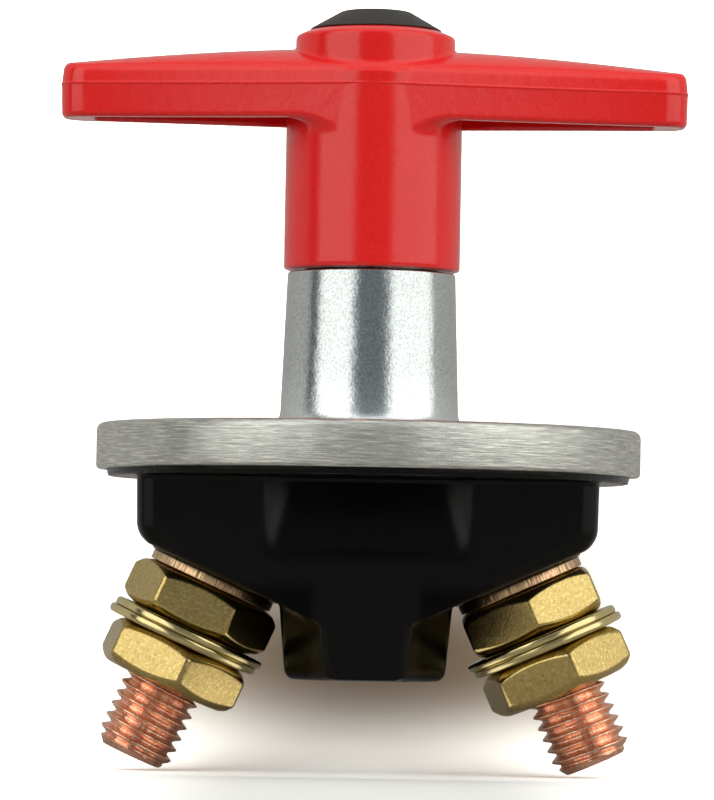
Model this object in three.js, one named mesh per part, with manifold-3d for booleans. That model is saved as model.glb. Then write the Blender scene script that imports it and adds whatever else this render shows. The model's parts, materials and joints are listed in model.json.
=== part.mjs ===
// Battery isolator switch with a T handle, a round flange and two angled stud terminals.
// Millimetres, +Z up along the spindle, X along the line of the two studs.
import * as THREE from 'three';
import { mergeVertices } from 'three/addons/utils/BufferGeometryUtils.js';
import Module from 'manifold-3d';

const wasm = await Module();
wasm.setup();

// ---------------------------------------------------------------- driving dimensions
// Heights are counted from the flange's top face, which faces the panel.
const GAP = 0.3; // clearance between neighbouring pieces
const STACK_GAP = 0.1; // clearance between pieces stacked on one stud
const ROUND = 40; // facets of a large circle
const SMALL = 16; // facets of a small circle

const FLANGE_R = 34;
const FLANGE_THICK = 5.75;
const DISC_THICK = 3;
const MOUNT_HOLE_R = 3.25;
const MOUNT_HOLE_Y = 26;
const BODY_SCREW_X = 14;
const BODY_SCREW_Y = 23;
const BODY_SCREW_R = 2;
const BODY_SCREW_HEAD_R = 3.5;
const BODY_SCREW_HEAD_THICK = 1.7;
const BODY_SCREW_TIP_Z = -0.9;

const NECK_BASE_R = 11.2;
const NECK_FILLET_R = 1.9;
const NECK_TOP_R = 10.5;
const NECK_TOP_Z = 19.3;
const NECK_TIP_R = 8.2;
const NECK_TIP_Z = 26.5;
const BUSH_BORE_R = 6.2;
const BUSH_TOP_Z = 17;
const SEAL_BORE_R = 5.6;
const SEAL_Z = 21.6;
const SEAL_WIRE_R = 0.85;
const SEAL_RING_R = 4.55;

const LIP_R = 32.6;
const LIP_BOTTOM_Z = -6.65;
const GASKET_THICK = 0.6;
const GASKET_INNER_R = 29.8;
const GASKET_OUTER_R = 32.2;
const BODY_HALF_X = 28.3;
const BODY_HALF_Y = 17.5;
const BODY_WALL = 3.3;
const SLANT_CORNER_Z = -14.4;
const BODY_EDGE_R = 2.5;
const BODY_CORNER_R = 1.7;
const BOSS_HALF_X = 10.75;
const BOSS_FRONT_HALF_X = 5.4;
const BOSS_SIDE_HALF_Y = 8;
const BOSS_FOOT_SCALE = 0.92;
const BOSS_BOTTOM_Z = -31.5;
const BOSS_BORE_R = 6.2;
const BOSS_FLOOR_Z = -28.2;
const RECESS_HALF_X = 9.4;
const RECESS_RAMP = 3.4;
const RECESS_DEPTH = 1.7;
const RECESS_FOOT_DEPTH = 0.3;
const RECESS_BOTTOM_Z = -17;

const TILT = THREE.MathUtils.degToRad(24); // studs lean outward from the vertical
const SEAT_X = 19;
const SEAT_Z = -18.9;
const WALL_AT_STUD = 5;
const PAD_R = 8.6;
const STUD_R = 5;
const STUD_OUT = 24.6;
const STUD_CHAMFER = 0.9;
const HEAD_SIZE = 13;
const HEAD_THICK = 3.5;
const COLLAR_R = 8.15;
const COLLAR_THICK = 1.15;
const NUT_FLATS = 17;
const NUT_FACE_R = NUT_FLATS / 2 - 0.35;
const NUT_CHAMFER = THREE.MathUtils.degToRad(36);
const LOCK_NUT_THICK = 6;
const TERMINAL_NUT_THICK = 5.8;
const WASHER_R = 10;
const WASHER_THICK = 1.05;
// Turn of each nut about its stud, in degrees; at zero a flat faces the front, -Y.
const NUT_TURN = { left: { lock: -3, terminal: -19.5 }, right: { lock: 28.7, terminal: -17.6 } };

const HANDLE_HALF_X = 39.3;
const HANDLE_UNDER_Z = 38.1;
const HANDLE_END_TOP_Z = 44.9;
const HANDLE_RIDGE_Z = 47.2;
const HANDLE_END_HALF_Y = 4;
const HANDLE_MID_HALF_Y = 11.3;
const HANDLE_END_R = 3;
const HANDLE_WALL = 2;
const HANDLE_END_BLOCK = 4.3;
const CHANNEL_DEPTH = 4.4;
const SLEEVE_R = 11.025;
const SLEEVE_BOTTOM_Z = 19.6;
const HUB_R = 10;
const HUB_SHOULDER_Z = 48.9;
const HUB_RIM_R = 8.2;
const HUB_TOP_Z = 49.7;
const CAP_BASE_R = 8.25;
const CAP_TOP_R = 4.2;
const CAP_TOP_Z = 52.2;
const CAP_WELL_R = 7;
const CAP_PLUG_DEPTH = 1.6;
const SOCKET_TOP_Z = 41.5;
const SCREW_WEB_Z = 44;
const HANDLE_SCREW_R = 2;
const HANDLE_SCREW_HEAD_R = 4.25;
const HANDLE_SCREW_HEAD_THICK = 3;
const SCREW_WASHER_R = 5.5;
const SCREW_WASHER_THICK = 1;

const JOURNAL_R = 4.5;
const SPINDLE_SQUARE = 6.2;
const GROOVE_R = 3.5;
const GROOVE_HALF_HEIGHT = 1.2;
const TAIL_R = 2.6;
const TAIL_NECK_R = 1.9;
const SPINDLE_TOP_Z = 41;
const CAM_SQUARE = 5.8;
const CAM_R = 10.5;
const CAM_LOBE_INNER_R = 4.8;
const CAM_BASE_THICK = 1.8;
const CIRCLIP_R = 4.3;
const CONTACT_LIFT = 2.2;
const DETENT_X = 8.7;
const DETENT_BORE_R = 1.7;
const DETENT_BORE_TOP_Z = 9;
const BALL_R = 1.5;
const DIMPLE_R = 1.4;

const BRIDGE_THICK = 2;
const BRIDGE_FLAT_X = 5.5;
const BRIDGE_END_X = 19.5;
const BRIDGE_WIDTH = 12;
const STEM = 5;
const STEM_BOTTOM_Z = -22.5;
const CARRIER_PLATE_R = 6.5;
const RIB_X = 5.75;
const WAVE_WASHER_R = 5.3;
const RETAINER_R = 5.3;
const RETURN_COIL_R = 4.4;
const RETURN_WIRE_R = 0.55;

const DISC_BOTTOM_Z = -DISC_THICK;
const CAM_TOP_Z = DISC_BOTTOM_Z - GAP;
const CAM_BASE_Z = CAM_TOP_Z - CAM_BASE_THICK;
const CAM_PEAK_Z = CAM_BASE_Z - CONTACT_LIFT;
const SLANT = Math.tan(TILT);
// Thickness of the round pad that each stud's collar sits on, along the stud.
const SEAT_PAD = (SLANT_CORNER_Z - SLANT * (BODY_HALF_X - SEAT_X) - SEAT_Z) * Math.cos(TILT);

// The lowest points of the object are the rims of the stud ends; they set the origin's height.
const STUD_END_R = STUD_R - STUD_CHAMFER;
const LOWEST_Z = SEAT_Z - STUD_OUT * Math.cos(TILT) - STUD_END_R * Math.sin(TILT);

// ---------------------------------------------------------------- finishes
function finish(color, roughness, metalness) {
  return new THREE.MeshStandardMaterial({ color, roughness, metalness });
}
const LOOKS = {
  redPaint: () => finish(0xd32421, 0.28, 0),
  blackCap: () => finish(0x3a3838, 0.65, 0),
  zinc: () => finish(0xb8bcb8, 0.35, 1),
  blackPlastic: () => finish(0x0c0c0c, 0.25, 0),
  brass: () => finish(0xd2b56a, 0.3, 1),
  copper: () => finish(0xc87a58, 0.35, 1),
  steel: () => finish(0xa8abad, 0.35, 1),
  bronze: () => finish(0xb08d57, 0.45, 1),
  rubber: () => finish(0x1a1a1a, 0.85, 0),
  whitePlastic: () => finish(0xd8d3c4, 0.5, 0),
};

// ---------------------------------------------------------------- shape helpers
function toSolid(geometry) {
  const plain = geometry.clone();
  plain.deleteAttribute('normal');
  plain.deleteAttribute('uv');
  const merged = mergeVertices(plain, 1e-4);
  return new wasm.Manifold(
    new wasm.Mesh({
      numProp: 3,
      vertProperties: new Float32Array(merged.attributes.position.array),
      triVerts: new Uint32Array(merged.index.array),
    }),
  );
}

function toGeometry(solid) {
  const mesh = solid.getMesh();
  const geometry = new THREE.BufferGeometry();
  geometry.setAttribute('position', new THREE.BufferAttribute(mesh.vertProperties, 3));
  geometry.setIndex(new THREE.BufferAttribute(mesh.triVerts, 1));
  geometry.computeVertexNormals();
  return geometry;
}

function cut(geometry, tools) {
  return toGeometry(tools.reduce((solid, tool) => solid.subtract(toSolid(tool)), toSolid(geometry)));
}

function join(geometries) {
  return toGeometry(geometries.map(toSolid).reduce((solid, next) => solid.add(next)));
}

function common(first, second) {
  return toGeometry(toSolid(first).intersect(toSolid(second)));
}

// A closed profile of [radius, z] points turned about Z.
function turned(profile, segments = ROUND) {
  const points = profile.map(([r, z]) => new THREE.Vector2(r, z));
  const first = points[0];
  const last = points[points.length - 1];
  if (!(first.x === 0 && last.x === 0)) {
    points.push(first.clone());
  }
  const area = THREE.ShapeUtils.area(points);
  const ordered = area < 0 ? points.reverse() : points;
  return new THREE.LatheGeometry(ordered, segments).rotateX(Math.PI / 2);
}

function rod(radius, bottom, top, segments = SMALL) {
  return turned([[0, bottom], [radius, bottom], [radius, top], [0, top]], segments);
}

function ring(inner, outer, bottom, top, segments = SMALL) {
  return turned([[inner, bottom], [outer, bottom], [outer, top], [inner, top]], segments);
}

function block(sizeX, sizeY, bottom, top) {
  return new THREE.BoxGeometry(sizeX, sizeY, top - bottom).translate(0, 0, (bottom + top) / 2);
}

// Rounds an outline's corners with short arcs; each point is [x, y, corner radius].
function roundedShape(points, steps = 4) {
  const count = points.length;
  const outline = [];
  points.forEach(([x, y, radius], i) => {
    const here = new THREE.Vector2(x, y);
    if (!radius) {
      outline.push(here);
      return;
    }
    const [px, py] = points[(i + count - 1) % count];
    const [nx, ny] = points[(i + 1) % count];
    const back = new THREE.Vector2(px, py).sub(here).normalize();
    const ahead = new THREE.Vector2(nx, ny).sub(here).normalize();
    const half = Math.acos(back.dot(ahead)) / 2;
    const reach = radius / Math.tan(half);
    const start = here.clone().addScaledVector(back, reach);
    const end = here.clone().addScaledVector(ahead, reach);
    const curve = new THREE.QuadraticBezierCurve(start, here, end);
    outline.push(...curve.getPoints(steps));
  });
  return new THREE.Shape(outline);
}

// An outline in XZ, pulled through a width centred on Y = 0.
function acrossY(shape, width) {
  const slab = new THREE.ExtrudeGeometry(shape, { depth: width, bevelEnabled: false });
  return slab.rotateX(Math.PI / 2).translate(0, width / 2, 0);
}

// An outline in XY, pulled upward from bottom to top.
function alongZ(shape, bottom, top) {
  const slab = new THREE.ExtrudeGeometry(shape, { depth: top - bottom, bevelEnabled: false });
  return slab.translate(0, 0, bottom);
}

// An outline in XY pulled upward, with its foot drawn in by a scale for moulding draft.
function tapered(shape, bottom, top, footScale) {
  const column = alongZ(shape, bottom, top);
  const position = column.attributes.position;
  for (let i = 0; i < position.count; i += 1) {
    if (position.getZ(i) < (bottom + top) / 2) {
      position.setXY(i, position.getX(i) * footScale, position.getY(i) * footScale);
    }
  }
  return column;
}

// A ring whose bottom and top heights are given at each angle, in degrees.
function waveRing(steps, inner, outer, heights) {
  const positions = [];
  const index = [];
  for (let i = 0; i < steps; i += 1) {
    const degrees = (360 * i) / steps;
    const angle = THREE.MathUtils.degToRad(degrees);
    const [low, high] = heights(degrees);
    const corners = [[inner, low], [outer, low], [outer, high], [inner, high]];
    corners.forEach(([r, z]) => positions.push(r * Math.cos(angle), r * Math.sin(angle), z));
    const next = ((i + 1) % steps) * 4;
    for (let k = 0; k < 4; k += 1) {
      const a = i * 4 + k;
      const b = i * 4 + ((k + 1) % 4);
      const c = next + ((k + 1) % 4);
      const d = next + k;
      index.push(a, c, b, a, d, c);
    }
  }
  const geometry = new THREE.BufferGeometry();
  geometry.setAttribute('position', new THREE.Float32BufferAttribute(positions, 3));
  geometry.setIndex(index);
  return geometry;
}

class Helix extends THREE.Curve {
  constructor(radius, bottom, top, turns) {
    super();
    Object.assign(this, { radius, bottom, top, turns });
  }

  getPoint(t, target = new THREE.Vector3()) {
    const angle = 2 * Math.PI * this.turns * t;
    return target.set(
      this.radius * Math.cos(angle),
      this.radius * Math.sin(angle),
      this.bottom + (this.top - this.bottom) * t,
    );
  }
}

// Round wire wound into an open compression spring standing on z = bottom.
function spring(radius, wire, bottom, top, turns, stepsPerTurn, sides) {
  const shape = new THREE.Shape();
  for (let i = 0; i < sides; i += 1) {
    const angle = (2 * Math.PI * i) / sides;
    const x = wire * Math.cos(angle);
    const y = wire * Math.sin(angle);
    if (i === 0) {
      shape.moveTo(x, y);
    } else {
      shape.lineTo(x, y);
    }
  }
  const path = new Helix(radius, bottom + wire, top - wire, turns);
  return new THREE.ExtrudeGeometry(shape, { steps: turns * stepsPerTurn, extrudePath: path });
}

function named(name, geometry, material) {
  const mesh = new THREE.Mesh(geometry, material);
  mesh.name = name;
  return mesh;
}

// ---------------------------------------------------------------- fixed castings and mouldings
function bodyScrewSpots() {
  const spots = [];
  [-BODY_SCREW_X, BODY_SCREW_X].forEach((x) => {
    spots.push([x, -BODY_SCREW_Y], [x, BODY_SCREW_Y]);
  });
  return spots;
}

function mountHoles(bottom, top) {
  return [-MOUNT_HOLE_Y, MOUNT_HOLE_Y].map((y) => rod(MOUNT_HOLE_R, bottom, top).translate(0, y, 0));
}

// Points of the hollow curve where the neck rises from the flange.
function neckFillet() {
  const steps = 4;
  const points = [];
  for (let i = 0; i <= steps; i += 1) {
    const angle = (i * Math.PI) / 2 / steps;
    const r = NECK_BASE_R + NECK_FILLET_R * (1 - Math.sin(angle));
    points.push([r, NECK_FILLET_R * (1 - Math.cos(angle))]);
  }
  return points;
}

function housing() {
  const under = -FLANGE_THICK;
  const rimWall = LIP_R + 0.15;
  const casting = turned([
    [rimWall, under],
    [FLANGE_R - 0.4, under],
    [FLANGE_R, under + 0.4],
    [FLANGE_R, -1],
    [FLANGE_R - 0.3, -0.3],
    [FLANGE_R - 1, 0],
    ...neckFillet(),
    [NECK_TOP_R, NECK_TOP_Z],
    [NECK_TIP_R, NECK_TOP_Z],
    [NECK_TIP_R, NECK_TIP_Z],
    [SEAL_BORE_R, NECK_TIP_Z],
    [SEAL_BORE_R, BUSH_TOP_Z],
    [BUSH_BORE_R, BUSH_TOP_Z],
    [BUSH_BORE_R, DISC_BOTTOM_Z],
    [rimWall, DISC_BOTTOM_Z],
  ]);
  const ballBores = [-DETENT_X, DETENT_X].map((x) =>
    rod(DETENT_BORE_R, DISC_BOTTOM_Z - 1, DETENT_BORE_TOP_Z, 12).translate(x, 0, 0));
  const screwBores = bodyScrewSpots().map(([x, y]) =>
    rod(BODY_SCREW_R + GAP, DISC_BOTTOM_Z - 1, BODY_SCREW_TIP_Z + GAP, 12).translate(x, y, 0));
  return cut(casting, [...mountHoles(-FLANGE_THICK - 1, 1), ...ballBores, ...screwBores]);
}

// The front outline of the lower case: straight sides, then undersides slanting to the middle.
function caseOutline(inset, topZ) {
  const halfX = BODY_HALF_X - inset;
  const middleX = 4;
  const drop = inset === 0 ? 0 : WALL_AT_STUD / Math.cos(TILT);
  const cornerZ = SLANT_CORNER_Z + drop - SLANT * (BODY_HALF_X - halfX);
  const middleZ = cornerZ - SLANT * (halfX - middleX);
  return roundedShape([
    [-halfX, topZ, 0],
    [halfX, topZ, 0],
    [halfX, cornerZ, BODY_CORNER_R],
    [middleX, middleZ, 0],
    [-middleX, middleZ, 0],
    [-halfX, cornerZ, BODY_CORNER_R],
  ]);
}

// The shallow hollow in the middle of the case's front, deepest under the lip.
function recess() {
  const outer = RECESS_HALF_X + RECESS_RAMP;
  const outside = -2;
  const outline = new THREE.Shape([
    new THREE.Vector2(-outer, 0),
    new THREE.Vector2(-RECESS_HALF_X, RECESS_DEPTH),
    new THREE.Vector2(RECESS_HALF_X, RECESS_DEPTH),
    new THREE.Vector2(outer, 0),
    new THREE.Vector2(outer, outside),
    new THREE.Vector2(-outer, outside),
  ]);
  const wedge = alongZ(outline, RECESS_BOTTOM_Z, LIP_BOTTOM_Z);
  const position = wedge.attributes.position;
  for (let i = 0; i < position.count; i += 1) {
    if (position.getZ(i) === RECESS_BOTTOM_Z && position.getY(i) > 0) {
      position.setY(i, RECESS_FOOT_DEPTH);
    }
  }
  return wedge;
}

function caseBody() {
  const lipTop = DISC_BOTTOM_Z - GASKET_THICK - 0.2;
  const lip = turned([
    [0, LIP_BOTTOM_Z],
    [LIP_R - 0.4, LIP_BOTTOM_Z],
    [LIP_R, LIP_BOTTOM_Z + 0.4],
    [LIP_R, lipTop],
    [0, lipTop],
  ]);
  const footprint = roundedShape([
    [-BODY_HALF_X, -BODY_HALF_Y, BODY_EDGE_R],
    [BODY_HALF_X, -BODY_HALF_Y, BODY_EDGE_R],
    [BODY_HALF_X, BODY_HALF_Y, BODY_EDGE_R],
    [-BODY_HALF_X, BODY_HALF_Y, BODY_EDGE_R],
  ]);
  const shell = common(
    acrossY(caseOutline(0, LIP_BOTTOM_Z + 1), 2 * BODY_HALF_Y),
    alongZ(footprint, -40, 0),
  );
  const boss = tapered(
    new THREE.Shape([
      new THREE.Vector2(-BOSS_FRONT_HALF_X, -BODY_HALF_Y),
      new THREE.Vector2(BOSS_FRONT_HALF_X, -BODY_HALF_Y),
      new THREE.Vector2(BOSS_HALF_X, -BOSS_SIDE_HALF_Y),
      new THREE.Vector2(BOSS_HALF_X, BOSS_SIDE_HALF_Y),
      new THREE.Vector2(BOSS_FRONT_HALF_X, BODY_HALF_Y),
      new THREE.Vector2(-BOSS_FRONT_HALF_X, BODY_HALF_Y),
      new THREE.Vector2(-BOSS_HALF_X, BOSS_SIDE_HALF_Y),
      new THREE.Vector2(-BOSS_HALF_X, -BOSS_SIDE_HALF_Y),
    ]),
    BOSS_BOTTOM_Z,
    RECESS_BOTTOM_Z - 2,
    BOSS_FOOT_SCALE,
  );
  const pads = [-1, 1].map((side) => rod(PAD_R, GAP - STACK_GAP, SEAT_PAD + 1)
    .rotateY(-side * TILT)
    .translate(side * SEAT_X, 0, SEAT_Z));

  const chamber = common(
    acrossY(caseOutline(BODY_WALL, 1), 2 * (BODY_HALF_Y - RECESS_DEPTH - 2)),
    block(80, 80, -40, 2),
  );
  const bore = rod(BOSS_BORE_R, BOSS_FLOOR_Z, -10);
  const studHoles = [-1, 1].map((side) => rod(STUD_R + GAP, -4, 14)
    .rotateY(-side * TILT)
    .translate(side * SEAT_X, 0, SEAT_Z));
  const pockets = [0, Math.PI].map((turn) => recess().translate(0, -BODY_HALF_Y, 0).rotateZ(turn));
  const screwHoles = bodyScrewSpots().map(([x, y]) => turned([
    [0, LIP_BOTTOM_Z - 1],
    [BODY_SCREW_HEAD_R + 2 * GAP, LIP_BOTTOM_Z - 1],
    [BODY_SCREW_HEAD_R + GAP, LIP_BOTTOM_Z],
    [BODY_SCREW_R + GAP, LIP_BOTTOM_Z + BODY_SCREW_HEAD_THICK],
    [BODY_SCREW_R + GAP, lipTop + 1],
    [0, lipTop + 1],
  ], 12).translate(x, y, 0));
  return cut(join([lip, shell, boss, ...pads]), [
    chamber,
    bore,
    ...studHoles,
    ...pockets,
    ...screwHoles,
    ...mountHoles(LIP_BOTTOM_Z - 1, 0),
  ]);
}

function bodyScrew() {
  const head = LIP_BOTTOM_Z + STACK_GAP;
  return turned([
    [0, head],
    [BODY_SCREW_HEAD_R, head],
    [BODY_SCREW_R, head + BODY_SCREW_HEAD_THICK],
    [BODY_SCREW_R, BODY_SCREW_TIP_Z],
    [0, BODY_SCREW_TIP_Z],
  ], 12);
}

// ---------------------------------------------------------------- terminals
// Each stud's own frame: z = 0 at the seat on the case, -z outward along the stud.
function stud() {
  const headBottom = SEAT_PAD + WALL_AT_STUD + GAP;
  const shank = turned([
    [0, -STUD_OUT],
    [STUD_END_R, -STUD_OUT],
    [STUD_R, -STUD_OUT + STUD_CHAMFER],
    [STUD_R, headBottom + 1],
    [0, headBottom + 1],
  ], SMALL);
  const head = block(HEAD_SIZE, HEAD_SIZE, headBottom, headBottom + HEAD_THICK);
  return join([shank, head]);
}

function hexNut(thick) {
  const across = NUT_FLATS / Math.sqrt(3);
  const hexagon = new THREE.CylinderGeometry(across, across, thick, 6)
    .rotateX(Math.PI / 2)
    .rotateZ(Math.PI / 2)
    .translate(0, 0, -thick / 2);
  const outer = across + 0.2;
  const rise = (outer - NUT_FACE_R) * Math.tan(NUT_CHAMFER);
  const chamfers = turned([
    [0, -thick],
    [NUT_FACE_R, -thick],
    [outer, -thick + rise],
    [outer, -rise],
    [NUT_FACE_R, 0],
    [0, 0],
  ], SMALL * 2);
  return cut(common(hexagon, chamfers), [rod(STUD_R + GAP, -thick - 1, 1)]);
}

function washer(outer, thick) {
  return ring(STUD_R + GAP, outer, -thick, 0, 2 * SMALL);
}

function terminal(side, name) {
  const group = new THREE.Group();
  group.position.set(side * SEAT_X, 0, SEAT_Z);
  group.rotation.y = -side * TILT;
  group.add(named(`stud_${name}`, stud(), LOOKS.copper()));
  const turn = NUT_TURN[name];
  const stack = [
    [`collar_${name}`, washer(COLLAR_R, COLLAR_THICK - STACK_GAP), COLLAR_THICK, 0, LOOKS.copper()],
    [`lock_nut_${name}`, hexNut(LOCK_NUT_THICK - STACK_GAP), LOCK_NUT_THICK, turn.lock, LOOKS.brass()],
    [`upper_washer_${name}`, washer(WASHER_R, WASHER_THICK - STACK_GAP), WASHER_THICK, 0, LOOKS.brass()],
    [`lower_washer_${name}`, washer(WASHER_R, WASHER_THICK - STACK_GAP), WASHER_THICK, 0, LOOKS.brass()],
    [`terminal_nut_${name}`, hexNut(TERMINAL_NUT_THICK - STACK_GAP), TERMINAL_NUT_THICK, turn.terminal,
      LOOKS.brass()],
  ];
  let z = 0;
  stack.forEach(([label, geometry, thick, degrees, look]) => {
    const piece = named(label, geometry, look);
    piece.position.z = z - STACK_GAP;
    piece.rotation.z = THREE.MathUtils.degToRad(degrees);
    group.add(piece);
    z -= thick;
  });
  return group;
}

// ---------------------------------------------------------------- handle
// Half the depth of the arms at x: a boat-shaped plan whose ends have rounded corners.
function handleHalfDepth(x) {
  const along = Math.abs(x) / HANDLE_HALF_X;
  const depth = HANDLE_END_HALF_Y + (HANDLE_MID_HALF_Y - HANDLE_END_HALF_Y) * (1 - along) ** 1.3;
  const intoCorner = Math.max(Math.abs(x) - (HANDLE_HALF_X - HANDLE_END_R), 0);
  return depth - (HANDLE_END_R - Math.sqrt(HANDLE_END_R ** 2 - intoCorner ** 2));
}

// The plan of both arms out to halfX, drawn in all round by an inset.
function handlePlan(halfX, inset) {
  const stations = [];
  const steps = 6;
  const straight = Math.min(halfX, HANDLE_HALF_X - HANDLE_END_R);
  for (let i = 0; i <= steps; i += 1) {
    stations.push((straight * i) / steps);
  }
  if (halfX > straight) {
    [0.4, 0.7, 0.9, 1].forEach((part) => stations.push(straight + part * HANDLE_END_R));
  }
  const right = stations.map((x) => new THREE.Vector2(x, handleHalfDepth(x) - inset));
  const left = right.slice(1).map((p) => new THREE.Vector2(-p.x, p.y)).reverse();
  const back = [...left, ...right];
  const front = back.map((p) => new THREE.Vector2(p.x, -p.y)).reverse();
  return new THREE.Shape([...back, ...front]);
}

function handle() {
  const plan = handlePlan(HANDLE_HALF_X, 0);
  const front = new THREE.Shape();
  front.moveTo(-HANDLE_HALF_X, HANDLE_UNDER_Z + 0.7);
  front.lineTo(-HANDLE_HALF_X + 0.7, HANDLE_UNDER_Z);
  front.lineTo(HANDLE_HALF_X - 0.7, HANDLE_UNDER_Z);
  front.lineTo(HANDLE_HALF_X, HANDLE_UNDER_Z + 0.7);
  front.lineTo(HANDLE_HALF_X, HANDLE_END_TOP_Z - 1);
  front.lineTo(HANDLE_HALF_X - 1, HANDLE_END_TOP_Z);
  front.quadraticCurveTo(HUB_R + 12, HANDLE_RIDGE_Z, HUB_R, HANDLE_RIDGE_Z);
  front.lineTo(-HUB_R, HANDLE_RIDGE_Z);
  front.quadraticCurveTo(-HUB_R - 12, HANDLE_RIDGE_Z, -HANDLE_HALF_X + 1, HANDLE_END_TOP_Z);
  front.lineTo(-HANDLE_HALF_X, HANDLE_END_TOP_Z - 1);
  const arms = common(alongZ(plan, HANDLE_UNDER_Z - 1, HANDLE_RIDGE_Z + 1), acrossY(front, 30));
  const sleeve = turned([
    [0, SLEEVE_BOTTOM_Z],
    [SLEEVE_R, SLEEVE_BOTTOM_Z],
    [SLEEVE_R, HANDLE_UNDER_Z + 5],
    [HUB_R, HANDLE_RIDGE_Z - 1],
    [HUB_R, HUB_SHOULDER_Z],
    [HUB_RIM_R, HUB_TOP_Z],
    [0, HUB_TOP_Z],
  ]);
  const channel = alongZ(
    handlePlan(HANDLE_HALF_X - HANDLE_END_BLOCK, HANDLE_WALL),
    HANDLE_UNDER_Z - 2,
    HANDLE_UNDER_Z + CHANNEL_DEPTH,
  );
  const skirtBore = rod(NECK_TIP_R + GAP, SLEEVE_BOTTOM_Z - 1, NECK_TIP_Z + 0.7);
  const side = SPINDLE_SQUARE + 2 * GAP;
  const socket = block(side, side, NECK_TIP_Z, SOCKET_TOP_Z);
  const screwHole = rod(HANDLE_SCREW_R + 2 * GAP, SOCKET_TOP_Z - 1, HUB_TOP_Z);
  const well = rod(CAP_WELL_R, SCREW_WEB_Z, HUB_TOP_Z + 1);
  return cut(join([cut(arms, [channel]), sleeve]), [skirtBore, socket, screwHole, well]);
}

function handleCap() {
  const plugR = CAP_WELL_R - 0.2;
  const innerR = plugR - 1.3;
  const seat = HUB_TOP_Z + 0.05;
  return turned([
    [0, HUB_TOP_Z + 0.8],
    [innerR, HUB_TOP_Z + 0.8],
    [innerR, HUB_TOP_Z - CAP_PLUG_DEPTH],
    [plugR, HUB_TOP_Z - CAP_PLUG_DEPTH],
    [plugR, seat],
    [CAP_BASE_R, seat],
    [CAP_BASE_R, seat + 0.2],
    [CAP_TOP_R, CAP_TOP_Z - 0.1],
    [CAP_TOP_R - 0.5, CAP_TOP_Z],
    [0, CAP_TOP_Z],
  ]);
}

function handleScrew() {
  const under = SCREW_WEB_Z + SCREW_WASHER_THICK + 2 * STACK_GAP;
  const top = under + HANDLE_SCREW_HEAD_THICK;
  const shank = rod(HANDLE_SCREW_R, SPINDLE_TOP_Z - 9, under + 1);
  const head = rod(HANDLE_SCREW_HEAD_R, under, top);
  const keySocket = new THREE.CylinderGeometry(2.3, 2.3, 4, 6)
    .rotateX(Math.PI / 2)
    .translate(0, 0, top);
  return cut(join([shank, head]), [keySocket]);
}

// ---------------------------------------------------------------- spindle, cam and detent
function spindle() {
  const journal = rod(JOURNAL_R, CAM_TOP_Z + GAP, NECK_TIP_Z + GAP);
  const upper = block(SPINDLE_SQUARE, SPINDLE_SQUARE, NECK_TIP_Z, SPINDLE_TOP_Z);
  const drive = block(CAM_SQUARE, CAM_SQUARE, CAM_BASE_Z - 0.2, CAM_TOP_Z + 1);
  const tail = turned([
    [0, CAM_BASE_Z - 1.6],
    [TAIL_R, CAM_BASE_Z - 1.6],
    [TAIL_R, CAM_BASE_Z - 1.1],
    [TAIL_NECK_R, CAM_BASE_Z - 1.1],
    [TAIL_NECK_R, CAM_BASE_Z - 0.3],
    [TAIL_R, CAM_BASE_Z - 0.3],
    [TAIL_R, CAM_BASE_Z + 0.5],
    [0, CAM_BASE_Z + 0.5],
  ]);
  const groove = ring(
    GROOVE_R,
    JOURNAL_R + 1,
    SEAL_Z - GROOVE_HALF_HEIGHT,
    SEAL_Z + GROOVE_HALF_HEIGHT,
  );
  const thread = rod(HANDLE_SCREW_R + GAP, SPINDLE_TOP_Z - 10, SPINDLE_TOP_Z + 1);
  return cut(join([journal, upper, drive, tail]), [groove, thread]);
}

// The underside height of the cam at an angle from +X, falling by the contact lift over a
// quarter turn clockwise from each of its two peaks.
function camDrop(degrees) {
  const from = ((degrees % 180) + 180) % 180;
  const plateau = 12;
  const back = 24;
  if (from <= plateau) {
    return 1;
  }
  if (from <= back) {
    return (back - from) / (back - plateau);
  }
  return from < 90 ? 0 : (from - 90) / 90;
}

function cam() {
  const disc = turned([
    [0, CAM_BASE_Z],
    [CAM_R, CAM_BASE_Z],
    [CAM_R, CAM_TOP_Z],
    [0, CAM_TOP_Z],
  ]);
  const lobes = waveRing(40, CAM_LOBE_INNER_R, CAM_R, (degrees) => [
    CAM_BASE_Z - 0.01 - CONTACT_LIFT * camDrop(degrees),
    CAM_BASE_Z + 0.5,
  ]);
  const side = CAM_SQUARE + 2 * GAP;
  const dimples = [0, 1, 2, 3].map((quarter) => new THREE.SphereGeometry(DIMPLE_R, 8, 4)
    .translate(DETENT_X, 0, CAM_TOP_Z + 0.7)
    .rotateZ((quarter * Math.PI) / 2));
  return cut(join([disc, lobes]), [block(side, side, CAM_PEAK_Z - 1, 0), ...dimples]);
}

function circlip() {
  const clip = ring(TAIL_NECK_R + GAP, CIRCLIP_R, CAM_BASE_Z - 0.95, CAM_BASE_Z - 0.45);
  return cut(clip, [new THREE.BoxGeometry(4, 2, 4).translate(3.5, 0, CAM_BASE_Z)]);
}

// ---------------------------------------------------------------- contact carriage
const HEAD_TOP = SEAT_PAD + WALL_AT_STUD + GAP + HEAD_THICK;
// Height of the sloping plane just above the stud heads, at a distance x from the middle.
function contactPlane(x) {
  const lift = (HEAD_TOP + GAP) / Math.cos(TILT);
  return SEAT_Z + lift + SLANT * (x - SEAT_X);
}
const BRIDGE_BOTTOM_Z = contactPlane(BRIDGE_FLAT_X);
const BRIDGE_TOP_Z = BRIDGE_BOTTOM_Z + BRIDGE_THICK;
const PLATE_TOP_Z = CAM_PEAK_Z - CONTACT_LIFT - 0.4;
const PLATE_BOTTOM_Z = BRIDGE_TOP_Z + 1.1;

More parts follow.
